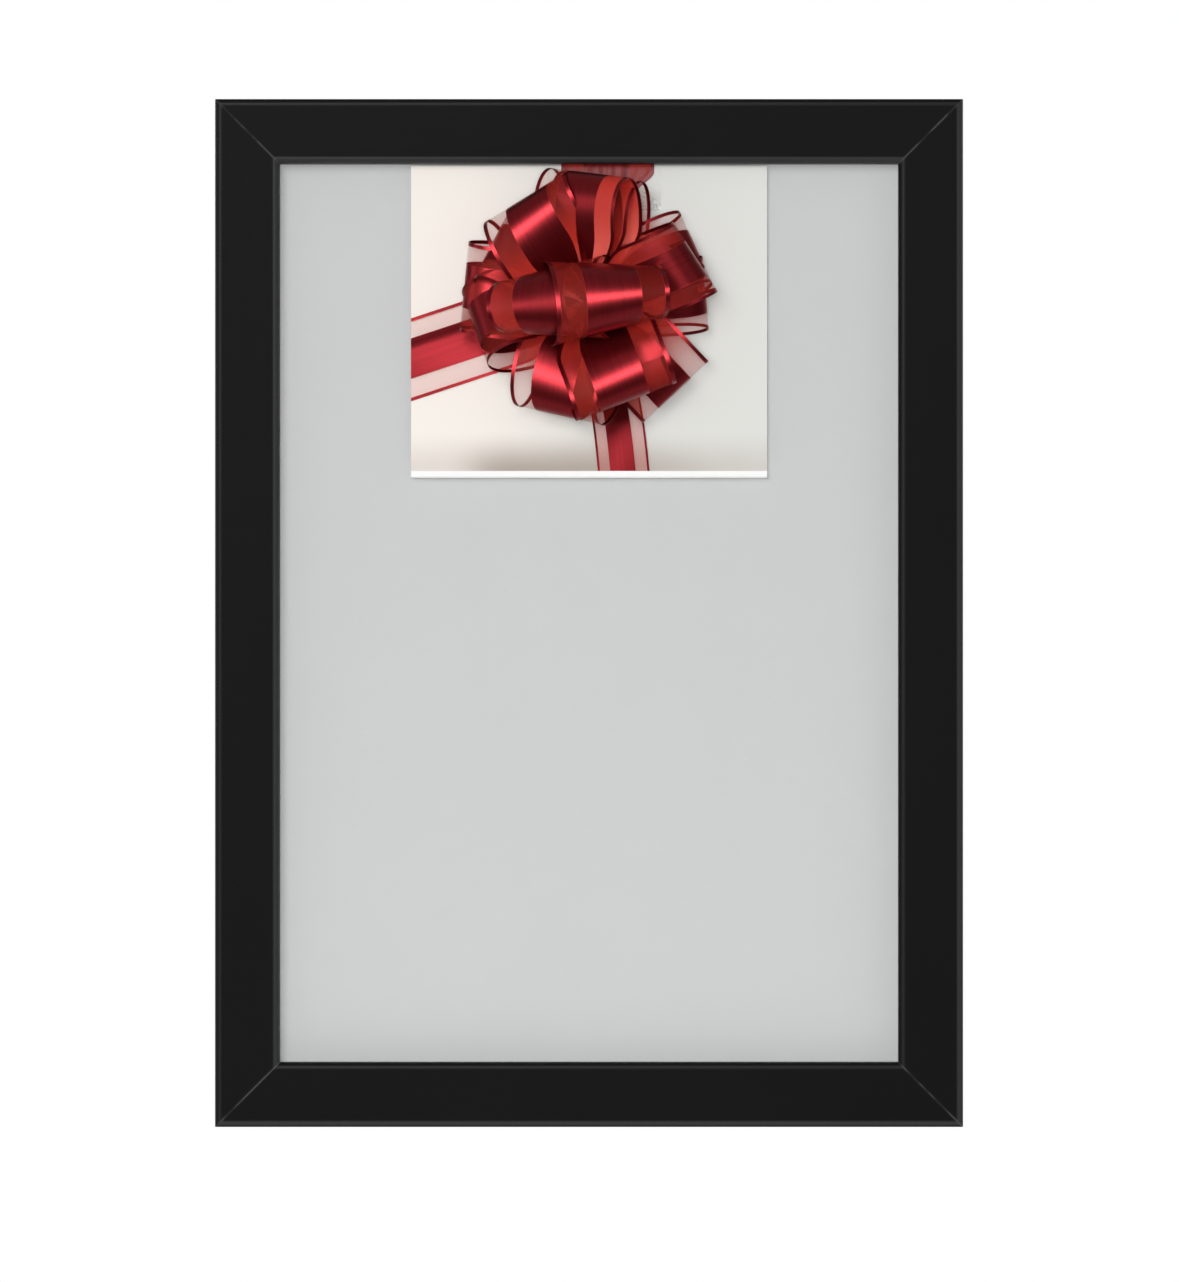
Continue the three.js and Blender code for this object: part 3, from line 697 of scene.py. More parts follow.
@dataclass(frozen=True)
class FloorPaper:
    """The pale paper of the studio floor, which fades into the white surroundings."""

    tone: Colour = (0.86, 0.86, 0.85)
    full_radius: float = 0.22
    fade_radius: float = 0.49
    fibre_scale: float = 300.0

    def make(self) -> Material:
        """Returns the material."""
        shader = Shader("floor_paper")
        x, y, _ = shader.place()
        fibre = shader.noise(self.fibre_scale, 4.0)
        return shader.finish(
            Base_Color=shader.mix(fibre, shade(self.tone, 0.98), self.tone),
            Roughness=0.9,
            Specular_IOR_Level=0.1,
            Alpha=(x * x + y * y).rise(self.fade_radius**2, self.full_radius**2),
        )


def deselect() -> None:
    """Leaves edit mode and selects nothing."""
    if bpy.context.mode != "OBJECT":
        bpy.ops.object.mode_set(mode="OBJECT")
    bpy.ops.object.select_all(action="DESELECT")


def activate(piece: Piece) -> None:
    """Selects one piece and makes it the active one."""
    deselect()
    piece.select_set(True)
    bpy.context.view_layer.objects.active = piece


def named(name: str) -> Piece:
    """Names the active piece, and returns it."""
    piece = bpy.context.active_object
    piece.name = name
    piece.data.name = name
    return piece


def added(name: str) -> Piece:
    """Names the primitive that was just added and puts its place into its mesh."""
    piece = named(name)
    bpy.ops.object.transform_apply(location=True, rotation=True, scale=True)
    return piece


@contextmanager
def editing(piece: Piece) -> Iterator[None]:
    """Opens a piece in edit mode with nothing selected."""
    activate(piece)
    bpy.ops.object.mode_set(mode="EDIT")
    bpy.ops.mesh.select_all(action="DESELECT")
    yield
    bpy.ops.object.mode_set(mode="OBJECT")


def middle_of(element: bmesh.types.BMEdge | bmesh.types.BMFace) -> Vector:
    """The middle of an edge or a face."""
    return sum((v.co for v in element.verts), Vector()) / len(element.verts)


def choose(piece: Piece, pick: Pick, test: Callable[[object], bool]) -> None:
    """Selects what passes a test, in edit mode.

    Args:
        piece: the piece that is open in edit mode.
        pick: what is selected.
        test: takes a vertex, an edge or a face.
    """
    bpy.ops.mesh.select_mode(type=pick)
    bpy.ops.mesh.select_all(action="DESELECT")
    shape = bmesh.from_edit_mesh(piece.data)
    elements = {Pick.VERTS: shape.verts, Pick.EDGES: shape.edges, Pick.FACES: shape.faces}[pick]
    for element in elements:
        if test(element):
            element.select_set(True)
    shape.select_flush_mode()
    bmesh.update_edit_mesh(piece.data)


def choose_edges_at(piece: Piece, **places: float) -> None:
    """Selects the edges that lie at given places, in edit mode.

    Args:
        piece: the piece that is open in edit mode.
        **places: where they lie along x, y or z.
    """
    choose(
        piece,
        Pick.EDGES,
        lambda e: all(abs(getattr(v.co, axis) - at) < TOUCH for v in e.verts for axis, at in places.items()),
    )


def extrude(by: Sequence[float]) -> None:
    """Extrudes what is selected, in edit mode."""
    bpy.ops.mesh.extrude_region_move(TRANSFORM_OT_translate={"value": by})


def face_outwards(merge: bool = False) -> None:
    """Turns all faces outwards in edit mode, after merging doubles where that is asked."""
    bpy.ops.mesh.select_all(action="SELECT")
    if merge:
        bpy.ops.mesh.remove_doubles(threshold=TOUCH)
    bpy.ops.mesh.normals_make_consistent(inside=False)


def apply_modifier(piece: Piece, kind: str, **settings: object) -> None:
    """Adds a modifier to a piece and applies it.

    Args:
        piece: the piece.
        kind: the modifier's type.
        **settings: the modifier's properties.
    """
    activate(piece)
    modifier = piece.modifiers.new(kind.lower(), kind)
    for name, value in settings.items():
        setattr(modifier, name, value)
    bpy.ops.object.modifier_apply(modifier=modifier.name)


def combine(piece: Piece, tool: Piece, operation: str) -> None:
    """Adds a tool to a piece or cuts it out, and deletes the tool."""
    apply_modifier(piece, "BOOLEAN", operation=operation, object=tool, solver="EXACT")
    bpy.data.objects.remove(tool)


def settle(piece: Piece, placing: Matrix = UNMOVED, angle: float = HARD_ANGLE) -> Piece:
    """Moves a piece's mesh to its place, leaves the object at the origin and shades it.

    Args:
        piece: the piece.
        placing: where its own axes lie.
        angle: the angle in degrees under which edges are shaded smooth.

    Returns:
        The piece.
    """
    activate(piece)
    piece.matrix_world = placing @ piece.matrix_world
    bpy.ops.object.transform_apply(location=True, rotation=True, scale=True)
    bpy.ops.object.shade_smooth_by_angle(angle=math.radians(angle))
    if angle <= HARD_ANGLE:
        apply_modifier(piece, "WEIGHTED_NORMAL", keep_sharp=True)
    return piece


def copy_of(piece: Piece, name: str) -> Piece:
    """A copy of a piece with its own mesh."""
    made = piece.copy()
    made.data = piece.data.copy()
    made.name = name
    made.data.name = name
    bpy.context.scene.collection.objects.link(made)
    return made


def join(name: str, pieces: Sequence[Piece]) -> Piece:
    """Joins pieces to one of that name."""
    activate(pieces[0])
    for piece in pieces:
        piece.select_set(True)
    bpy.ops.object.join()
    return named(name)


def dress(piece: Piece, finish: Material) -> None:
    """Puts one material on the whole of a piece."""
    piece.data.materials.clear()
    piece.data.materials.append(finish)


def fit(piece: Piece, body: str, slot: Slot, finish: Material, *nodes: str) -> None:
    """Gives a piece its finish, its body and the nodes that it stands for.

    Args:
        piece: the piece.
        body: the body that it rides on.
        slot: the record's finish; not used.
        finish: the material.
        *nodes: the nodes that it replaces.
    """
    dress(piece, finish)
    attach(piece, body)
    if nodes:
        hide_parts(*nodes)
    LOG.info("%s rides on %s for %s", piece.name, body, ", ".join(nodes) or "itself")


def middle(node: str) -> Vector:
    """The middle of a node's box."""
    low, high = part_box(node)
    return (low + high) / 2


def quarter_turn(side: Side, at: Vector) -> Matrix:
    """A place on a side of the frame, its axes turned with the side."""
    return Matrix.Translation(at) @ Matrix.Rotation(side.value, 4, "Y")


def ease(share: np.ndarray | float) -> np.ndarray:
    """A smooth step from 0 to 1 over shares from 0 to 1."""
    held = np.clip(share, 0, 1)
    return held * held * (3 - 2 * held)


def points_of(piece: Piece) -> np.ndarray:
    """The places of a piece's vertices, one row each."""
    flat = np.empty(3 * len(piece.data.vertices))
    piece.data.vertices.foreach_get("co", flat)
    return flat.reshape(-1, 3)


@dataclass
class Moulding:
    """The four mitred rails and the pins that hold their mitres."""

    lip: float = 7.0 * MM
    sheet_clearance: float = 0.5 * MM
    outer_round: float = 1.7 * MM
    inner_round: float = 1.6 * MM
    mitre_ease: float = 0.22 * MM
    mitre_gap: float = 0.01 * MM
    round_steps: int = 7
    pin_leg: float = 5.0 * MM
    pin_thickness: float = 0.6 * MM
    pin_depth: float = 3.0 * MM
    pin_proud: float = 0.12 * MM
    pin_ease: float = 0.06 * MM
    low: Vector = field(init=False)
    high: Vector = field(init=False)
    rail_width: float = field(init=False)
    land: float = field(init=False)

    PINS = {
        Side.TOP: "top_right",
        Side.RIGHT: "bottom_right",
        Side.BOTTOM: "bottom_left",
        Side.LEFT: "top_left",
    }

    def __post_init__(self) -> None:
        """Takes the outline from the rails of the frame."""
        top_low, top_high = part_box("rail_top")
        right_low, right_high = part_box("rail_right")
        self.low = Vector((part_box("rail_left")[0].x, top_low.y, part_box("rail_bottom")[0].z))
        self.high = Vector((right_high.x, top_high.y, top_high.z))
        self.rail_width = right_high.x - right_low.x
        self.land = right_high.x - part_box("glazing")[1].x - self.sheet_clearance

    @property
    def centre(self) -> Vector:
        """The middle of the frame's outline, at the front face."""
        return Vector((0.0, self.low.y, (self.low.z + self.high.z) / 2))

    def lacquer(self) -> Lacquer:
        """The lacquer, laid out on this frame."""
        return Lacquer(
            half_width=(self.high.x - self.low.x) / 2,
            half_height=(self.high.z - self.low.z) / 2,
            middle=self.centre.z,
            rail_width=self.rail_width,
            front=self.low.y,
        )

    def borders_mitre(self, edge: bmesh.types.BMEdge) -> bool:
        """Whether an edge at the front of a rail lies between its mitre and another face."""
        mitred = [abs(face.normal.x) > 0.5 for face in edge.link_faces]
        return middle_of(edge).y < self.outer_round and any(mitred) and not all(mitred)

    def rail(self, name: str, length: float) -> Piece:
        """Models a rail along X with its outer edge at Z = 0 and its front face at Y = 0.

        Args:
            name: the piece's name.
            length: its outer length.

        Returns:
            The rail.
        """
        deselect()
        width, depth = self.rail_width, self.high.y - self.low.y
        long = length - 2 * self.mitre_gap
        bpy.ops.mesh.primitive_cube_add(
            size=1, location=(0, self.lip / 2, -width / 2), scale=(long, self.lip, width)
        )
        piece = added(name)
        with editing(piece):
            choose(piece, Pick.FACES, lambda f: f.normal.z < -FACING)
            bpy.ops.transform.resize(value=((long - 2 * width) / long, 1, 1), center_override=(0, 0, 0))
            bpy.ops.mesh.select_all(action="SELECT")
            bpy.ops.mesh.bisect(plane_co=(0, 0, -self.land), plane_no=(0, 0, 1))
            choose(piece, Pick.FACES, lambda f: f.normal.y > FACING and middle_of(f).z > -self.land)
            extrude((0, depth - self.lip, 0))
            for edge, size in ((0.0, self.outer_round), (-width, self.inner_round)):
                choose_edges_at(piece, y=0.0, z=edge)
                bpy.ops.mesh.bevel(offset=size, segments=self.round_steps, affect="EDGES")
            choose(piece, Pick.EDGES, self.borders_mitre)
            bpy.ops.mesh.bevel(offset=self.mitre_ease, segments=2, affect="EDGES")
        return piece

    def pin(self, name: str) -> Piece:
        """Models a mitre pin: two legs from the origin along +X and +Z, driven in along -Y."""
        deselect()
        half = self.pin_thickness / 2
        bpy.ops.mesh.primitive_plane_add(size=self.pin_thickness, rotation=TO_FRONT)
        piece = added(name)
        with editing(piece):
            for way in (Vector((1, 0, 0)), Vector((0, 0, 1))):
                choose(
                    piece,
                    Pick.EDGES,
                    lambda e: middle_of(e).dot(way) > half - TOUCH and middle_of(e).length < half + TOUCH,
                )
                extrude(way * self.pin_leg)
            bpy.ops.mesh.select_all(action="SELECT")
            extrude((0, -self.pin_depth, 0))
            face_outwards()
        apply_modifier(piece, "BEVEL", width=self.pin_ease, segments=2)
        return piece

    def build(self, zinc: Material) -> None:
        """Models, places and dresses the rails and the pins."""
        lacquer = self.lacquer().make()
        size = self.high - self.low
        inset = self.land / 2 + self.pin_leg / 2
        for side, corner in self.PINS.items():
            upright = side in (Side.LEFT, Side.RIGHT)
            length, across = (size.z, size.x) if upright else (size.x, size.z)
            placing = quarter_turn(side, self.centre) @ Matrix.Translation((0, 0, across / 2))
            rail = settle(self.rail(f"moulding_{side.label}", length), placing)
            fit(rail, Body.FRAME, Slot.MOULDING, lacquer, f"rail_{side.label}")
            at = Matrix.Translation((length / 2 - inset, size.y + self.pin_proud, -inset))
            pin = settle(self.pin(f"mitre_pin_{corner}"), placing @ at)
            fit(pin, Body.FRAME, Slot.STEEL, zinc, f"v_nail_{corner}")


@dataclass
class BackFittings:
    """Turn buttons, hanging straps and rings, their screws and the wall bumpers."""

    head_radius: float = 2.7 * MM
    head_height: float = 1.4 * MM
    head_round: float = 0.95 * MM
    head_ease: float = 0.05 * MM
    shank_radius: float = 1.3 * MM
    shank_length: float = 10.0 * MM
    tip_share: float = 0.1
    recess_length: float = 2.9 * MM
    recess_width: float = 0.62 * MM
    recess_depth: float = 1.0 * MM
    recess_taper: float = 0.55
    drill_depth: float = 6.0 * MM
    eye_radius: float = 4.5 * MM
    nose_radius: float = 3.0 * MM
    button_length: float = 12.0 * MM
    button_thickness: float = 0.8 * MM
    button_ease: float = 0.14 * MM
    dimple_radius: float = 2.4 * MM
    dimple_height: float = 2.0 * MM
    strap_width: float = 10.0 * MM
    strap_thickness: float = 0.6 * MM
    strap_ease: float = 0.10 * MM
    strap_wrap: float = 282.0
    eye_to_bar: float = 8.5 * MM
    wire_radius: float = 0.9 * MM
    seat_gap: float = 0.3 * MM
    ring_half_bar: float = 8.0 * MM
    ring_corner: float = 2.0 * MM
    ring_reach: float = 13.0 * MM
    ring_squareness: float = 6.0
    bumper_round: float = 1.5 * MM
    screw_turn: float = 0.7
    hanger_turn: float = 0.4

    BUTTONS = {
        "top": Side.TOP,
        "bottom": Side.BOTTOM,
        "left_upper": Side.LEFT,
        "left_lower": Side.LEFT,
        "right_upper": Side.RIGHT,
        "right_lower": Side.RIGHT,
    }
    HANGERS = {"left": Side.LEFT, "right": Side.RIGHT}

    def screw(self) -> Piece:
        """Models a pan-head screw on Z, the underside of its head at Z = 0."""
        deselect()
        bpy.ops.mesh.primitive_cylinder_add(
            vertices=40,
            radius=self.head_radius,
            depth=self.head_height,
            location=(0, 0, self.head_height / 2),
        )
        piece = added("screw")
        with editing(piece):
            choose(piece, Pick.FACES, lambda f: f.normal.z < -FACING)
            bpy.ops.mesh.inset(thickness=self.head_radius - self.shank_radius)
            extrude((0, 0, -self.shank_length + 2 * self.shank_radius))
            extrude((0, 0, -2 * self.shank_radius))
            bpy.ops.transform.resize(value=(self.tip_share, self.tip_share, 1), center_override=(0, 0, 0))
            choose_edges_at(piece, z=self.head_height)
            bpy.ops.mesh.bevel(offset=self.head_round, segments=6, affect="EDGES")
        combine(piece, self.cross_recess(), "DIFFERENCE")
        apply_modifier(piece, "BEVEL", width=self.head_ease, segments=2, limit_method="ANGLE")
        return piece

    def cross_recess(self) -> Piece:
        """Models the tool that cuts the cross recess of a screw."""
        deselect()
        blades = []
        for turn in (0.0, math.pi / 2):
            bpy.ops.mesh.primitive_cube_add(
                size=1,
                location=(0, 0, self.head_height),
                rotation=(0, 0, turn),
                scale=(self.recess_length, self.recess_width, 2 * self.recess_depth),
            )
            blade = added("recess_blade")
            with editing(blade):
                choose(blade, Pick.FACES, lambda f: f.normal.z < -FACING)
                bpy.ops.transform.resize(
                    value=(self.recess_taper, self.recess_taper, 1), center_override=(0, 0, 0)
                )
            blades.append(blade)
        combine(blades[0], blades[1], "UNION")
        return blades[0]

    def drill(self, piece: Piece, height: float = 0.0, turn: Sequence[float] = (0, 0, 0)) -> None:
        """Cuts a screw's eye through a plate.

        Args:
            piece: the plate.
            height: where the eye lies along Z.
            turn: how the drill is turned from pointing along Z.
        """
        deselect()
        bpy.ops.mesh.primitive_cylinder_add(
            vertices=40,
            radius=self.shank_radius + self.seat_gap,
            depth=self.drill_depth,
            location=(0, 0, height),
            rotation=turn,
        )
        combine(piece, added("drill"), "DIFFERENCE")

    def press_dimple(self, piece: Piece) -> None:
        """Presses the round thumb dimple into the nose of a turn button."""
        deselect()
        bpy.ops.mesh.primitive_uv_sphere_add(
            segments=32,
            ring_count=16,
            radius=self.dimple_radius,
            location=(0, self.button_length, self.button_thickness + self.dimple_height),
        )
        combine(piece, added("dimple"), "DIFFERENCE")

    def turn_button(self) -> Piece:
        """Models a turn button in the X and Y plane, its eye on Z and its nose towards +Y."""
        deselect()
        bpy.ops.mesh.primitive_circle_add(vertices=64, radius=self.eye_radius, fill_type="NGON")
        piece = added("turn_button")
        taper = self.nose_radius / self.eye_radius
        with editing(piece):
            choose(piece, Pick.VERTS, lambda v: v.co.y > TOUCH)
            bpy.ops.transform.resize(value=(taper, taper, 1), center_override=(0, 0, 0))
            bpy.ops.transform.translate(value=(0, self.button_length, 0))
            bpy.ops.mesh.select_all(action="SELECT")
            extrude((0, 0, self.button_thickness))
            face_outwards()
        self.drill(piece)
        self.press_dimple(piece)
        apply_modifier(piece, "BEVEL", width=self.button_ease, segments=3, limit_method="ANGLE")
        return piece

    def hanger_strap(self) -> Piece:
        """Models a hanging strap: the ring's bar on X, the plate running out along +Z, the rail at -Y."""
        deselect()
        sleeve = self.wire_radius + self.seat_gap + self.strap_thickness / 2
        bpy.ops.mesh.primitive_circle_add(
            vertices=64, radius=self.strap_width / 2, fill_type="NGON", rotation=TO_FRONT
        )
        piece = added("hanger_strap")
        with editing(piece):
            bpy.ops.mesh.select_all(action="SELECT")
            bpy.ops.transform.translate(value=(0, -sleeve, self.eye_to_bar))
            bpy.ops.mesh.bisect(
                plane_co=(0, 0, self.eye_to_bar), plane_no=(0, 0, 1), clear_inner=True, use_fill=False
            )
            choose_edges_at(piece, z=self.eye_to_bar)
            extrude((0, 0, -self.eye_to_bar))
            bpy.ops.mesh.spin(
                steps=28, angle=math.radians(-self.strap_wrap), center=(0, 0, 0), axis=(1, 0, 0)
            )
            face_outwards(merge=True)
        apply_modifier(piece, "SOLIDIFY", thickness=self.strap_thickness, offset=0.0)
        self.drill(piece, self.eye_to_bar, TO_FRONT)
        apply_modifier(piece, "BEVEL", width=self.strap_ease, segments=2, limit_method="ANGLE")
        return piece

    def ring_path(self, share: float) -> Vector:
        """A point of the ring's wire in the X and Z plane.

        Args:
            share: how far round from the middle of the bar, from 0 to 1.

        Returns:
            The point.
        """
        turn = 2 * math.pi * share
        x, z = math.sin(turn), math.cos(turn)
        if z > 0:
            power = self.ring_squareness
            size = (abs(x) ** power + abs(z) ** power) ** (-1 / power)
            return Vector((x * size * self.ring_half_bar, 0, (z * size - 1) * self.ring_corner))
        reach = self.ring_reach - self.ring_corner
        return Vector((x * self.ring_half_bar, 0, z * reach - self.ring_corner))

    def hanger_ring(self) -> Piece:
        """Models a D ring: its bar on X, its arch towards -Z."""
        deselect()
        step = 0.004
        bpy.ops.mesh.primitive_torus_add(
            major_segments=96,
            minor_segments=16,
            major_radius=self.ring_half_bar,
            minor_radius=self.wire_radius,
        )
        piece = added("hanger_ring")
        for vertex in piece.data.vertices:
            share = math.atan2(vertex.co.y, vertex.co.x) / (2 * math.pi)
            out = math.hypot(vertex.co.x, vertex.co.y) - self.ring_half_bar
            along = (self.ring_path(share + step) - self.ring_path(share - step)).normalized()
            off_wire = along.cross(Vector((0, 1, 0))) * -out
            vertex.co = self.ring_path(share) + off_wire + Vector((0, vertex.co.z, 0))
        with editing(piece):
            face_outwards()
        return piece

    def bumper(self, node: str) -> Piece:
        """Models a round bumper with an eased rim in the box of its node."""
        deselect()
        low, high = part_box(node)
        bpy.ops.mesh.primitive_cylinder_add(
            vertices=64,
            radius=(high.x - low.x) / 2,
            depth=high.y - low.y,
            location=(low + high) / 2,
            rotation=TO_WALL,
        )
        piece = added(f"wall_{node}")
        with editing(piece):
            choose_edges_at(piece, y=high.y)
            bpy.ops.mesh.bevel(offset=self.bumper_round, segments=8, affect="EDGES")
        return settle(piece)

    def place_screw(self, screw: Piece, node: str, turn: float, zinc: Material) -> None:
        """Copies the screw to its node.

        Args:
            screw: the model.
            node: the node that it stands for.
            turn: how far its recess is turned, in radians.
            zinc: the finish.
        """
        at = middle(node)
        at.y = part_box(node)[1].y - self.head_height
        placing = Matrix.Translation(at) @ STAND_UP @ Matrix.Rotation(turn, 4, "Z")
        fit(settle(copy_of(screw, f"head_of_{node}"), placing), Body.FRAME, Slot.STEEL, zinc, node)

    def build(self, zinc: Material, rubber: Material) -> None:
        """Models each fitting once, and places and dresses its copies."""
        screw, button = self.screw(), self.turn_button()
        strap, ring = self.hanger_strap(), self.hanger_ring()
        for index, (label, side) in enumerate(self.BUTTONS.items()):
            self.place_screw(screw, f"turn_button_screw_{label}", self.screw_turn * index, zinc)
            eye = middle(f"turn_button_screw_{label}")
            eye.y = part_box(f"turn_button_{label}")[0].y
            made = settle(copy_of(button, f"button_{label}"), quarter_turn(side, eye) @ STAND_UP)
            fit(made, f"turn_button_{label}", Slot.STEEL, zinc, f"turn_button_{label}")
        for index, (label, side) in enumerate(self.HANGERS.items()):
            self.place_screw(screw, f"hanger_screw_{label}", self.hanger_turn + index, zinc)
            bar = middle(f"hanger_screw_{label}")
            bar.y = middle(f"hanger_ring_{label}").y
            placing = quarter_turn(side, bar) @ Matrix.Translation((0, 0, -self.eye_to_bar))
            made = settle(copy_of(strap, f"strap_hanger_{label}"), placing)
            fit(made, Body.FRAME, Slot.STEEL, zinc, f"hanger_strap_{label}")
            made = settle(copy_of(ring, f"d_ring_{label}"), placing, SOFT_ANGLE)
            fit(made, f"hanger_ring_{label}", Slot.STEEL, zinc, f"hanger_ring_{label}")
            fit(self.bumper(f"bumper_{label}"), Body.FRAME, Slot.BUMPER, rubber, f"bumper_{label}")
        for model in (screw, button, strap, ring):
            bpy.data.objects.remove(model)


@dataclass(frozen=True)
class Loop:
    """One loop of the bow, in degrees and millimetres.

    azimuth and elevation say where it points, roll turns it about that way, and fan spreads its two sides.
    trim, spread and opening are its length, its width and how far its sides stand apart. taper narrows one
    edge, shift_x and shift_z move its tip, and skew slants it. cover and haze draw its sheer stripes
    together, the first at the gather and the second at its outer part.
    """

    azimuth: float
    elevation: float
    roll: float
    fan: float
    trim: float
    spread: float
    opening: float
    taper: float = 0.0
    shift_x: float = 0.0
    shift_z: float = 0.0
    cover: float = 0.0
    skew: float = 0.0
    haze: float = 0.0


@dataclass(frozen=True)
class Tail:
    """One tail of the bow: where it runs and how it lies on the card.

    angle is its way in degrees. It ends at the lowest corner of the node border along an axis. tilt and fold
    raise its first edge, lift raises its start, and sway bows it out sideways. drawn is how far its sheer
    stripes are drawn together.
    """

    angle: float
    width: float
    border: str
    axis: int
    drawn: float
    tilt: float = 0.0
    fold: float = 0.0
    lift: float = 0.0
    sway: float = 0.0


@dataclass
class RibbonBow:
    """The gathered bow, its tie, its two tails and the strap that it hangs by."""

    ribbon_width: float = 28.0 * MM
    thickness: float = 0.2 * MM
    pinch: float = 5.0 * MM
    reach: float = 39.0 * MM
    core_radius: float = 6.5 * MM
    neck_radius: float = 3.5 * MM
    neck_gap: float = 0.3 * MM
    tie_radius: float = 0.7 * MM
    tie_turns: int = 9
    tie_ply: float = 0.16
    loop_start: float = 0.35
    flare: float = 0.6
    pleats: float = 3.5
    pleat_depth: float = 1.3 * MM
    pleat_full: float = 0.1
    pleat_fade: float = 0.52
    veil_full: float = 0.45
    veil_fade: float = 0.5
    haze_fade: float = 0.2
    steps_across: int = 24
    steps_along: int = 80
    steps_tail: int = 64
    steps_strap: int = 96
    steps_line: int = 60
    steps_area: int = 200
    stem_sides: int = 72
    stem_flutes: int = 9
    stem_flute: float = 0.10
    stem_cut: float = 0.62
    stem_waist: float = 0.12
    stem_waist_from: float = 0.5
    stem_waist_to: float = 0.8
    tail_spread: float = 24.0 * MM
    tail_open: float = 0.4
    tail_tilt_power: float = 1.5
    tail_fold_at: float = -0.14
    tail_fold_over: float = 0.13
    tail_pleats: float = 3.0
    tail_pleat: float = 0.5 * MM
    tail_wave: float = 0.15 * MM
    tail_wavelength: float = 7.5 * MM
    tail_wave_slant: float = 4.0
    strap_trim: float = 0.40
    strap_trim_from: float = 0.19
    strap_trim_over: float = 0.13
    strap_draw_from: float = 0.32
    strap_draw_over: float = 0.68
    strap_fold: float = 0.14 * MM
    strap_veil: float = 2.6
    bend_half: float = 0.8 * MM
    middle: Vector = field(init=False)

    LOOPS = (
        Loop(174, 6, 4, 14, 0, 0, 12),
        Loop(150, 9, 22, 0, -4, -1, 11),
        Loop(84, 7, -20, 12, -0.5, -1, 12),
        Loop(26, 6, -18, 0, -2, -2, 12),
        Loop(3, 5, 24, 4, -2.7, -4, 11),
        Loop(-47, 6, 2, 0, 0.5, 0, 11),
        Loop(-105, 13, 6, -26, -1, 0, 14),
        Loop(122.5, 17, 0, 24, -0.7, 2.5, 17, cover=1.1),
        Loop(91, 18, -28, 8, 1.5, 0, 15, cover=1.6, haze=1.5),
        Loop(20.5, 28, 9, 0, 0, -3, 16, skew=-4.2),
        Loop(194, 14, 21, -18, -1.5, -2, 13),
        Loop(-70, 36, 3, 8, 2, 5, 16),
        Loop(120, 84, -24, 0, -3, 7, 21, taper=0.5, shift_x=9.2, shift_z=-3.7),
        Loop(60, 82, 216, 0, -8, 5, 21, taper=0.5, shift_x=-17.2, shift_z=-6.0, haze=0.4),
    )
    TAILS = {
        "left": Tail(198.3, 24.5 * MM, "bow_card", 0, 0.98, tilt=0.5 * MM, fold=0.38 * MM),
        "lower": Tail(-78.6, 15.8 * MM, "tail_lower", 2, 1.2, lift=2.6 * MM, sway=1.7 * MM),
    }

    def __post_init__(self) -> None:
        """Finds the bow's middle from the tie and the tails of the frame."""
        tie = middle("gather_tie")
        depth = 2 * tie.y - self.core_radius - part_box("tail_left")[0].y
        self.middle = Vector((tie.x, depth, tie.z))

    def strip(self, name: str, across: int, along: int, drawn: Route) -> Piece:
        """Lays out a flat strip of ribbon and notes how far its sheer stripes are drawn together.

        Args:
            name: the piece's name.
            across: how many faces it has across.
            along: how many faces it has along.
            drawn: gives the number from how far across (-0.5 to 0.5) and along (0 to 1) points are.

        Returns:
            The strip, its UV map running across and along it.
        """
        deselect()
        bpy.ops.mesh.primitive_grid_add(x_subdivisions=across, y_subdivisions=along, size=1)
        piece = named(name)
        flat = points_of(piece)
        layer = piece.data.attributes.new(VEIL, "FLOAT", "POINT")
        layer.data.foreach_set("value", drawn(flat[:, 0], flat[:, 1] + 0.5))
        return piece

    def bend(self, piece: Piece, route: Route, start: float = 0.0) -> float:
        """Bends a flat strip to a route and lays out its UV map in ribbon widths.

        Args:
            piece: the strip.
            route: gives points from how far across (-0.5 to 0.5) and along (0 to 1) they are.
            start: where the strip starts along the whole ribbon, in metres.

        Returns:
            The strip's length along its middle.
        """
        flat = points_of(piece)
        piece.data.vertices.foreach_set("co", route(flat[:, 0], flat[:, 1] + 0.5).ravel())
        line = route(np.zeros(self.steps_line), np.linspace(0, 1, self.steps_line))
        length = float(np.linalg.norm(np.diff(line, axis=0), axis=1).sum())
        layer = piece.data.uv_layers.active
        uv = np.empty(2 * len(layer.data))
        layer.data.foreach_get("uv", uv)
        uv = uv.reshape(-1, 2)
        uv[:, 1] = (start + uv[:, 1] * length) / self.ribbon_width
        layer.data.foreach_set("uv", uv.ravel())
        piece.data.update()
        return length

    def thicken(self, piece: Piece) -> Piece:
        """Gives a bent strip its thickness and smooth shading."""
        apply_modifier(piece, "SOLIDIFY", thickness=self.thickness, offset=0.0)
        return settle(piece, angle=SOFT_ANGLE)

    def loop_route(self, loop: Loop) -> Route:
        """The route of a loop from the gather round its tip and back."""
        reach = self.reach + loop.trim * MM
        width = self.ribbon_width + loop.spread * MM
        bulge = loop.opening * MM / 2 * (3 * math.sqrt(3) / 4)
        rise, roll = math.radians(loop.elevation), math.radians(loop.roll)
        tip = np.array((loop.shift_x * MM, 0, loop.shift_z * MM))

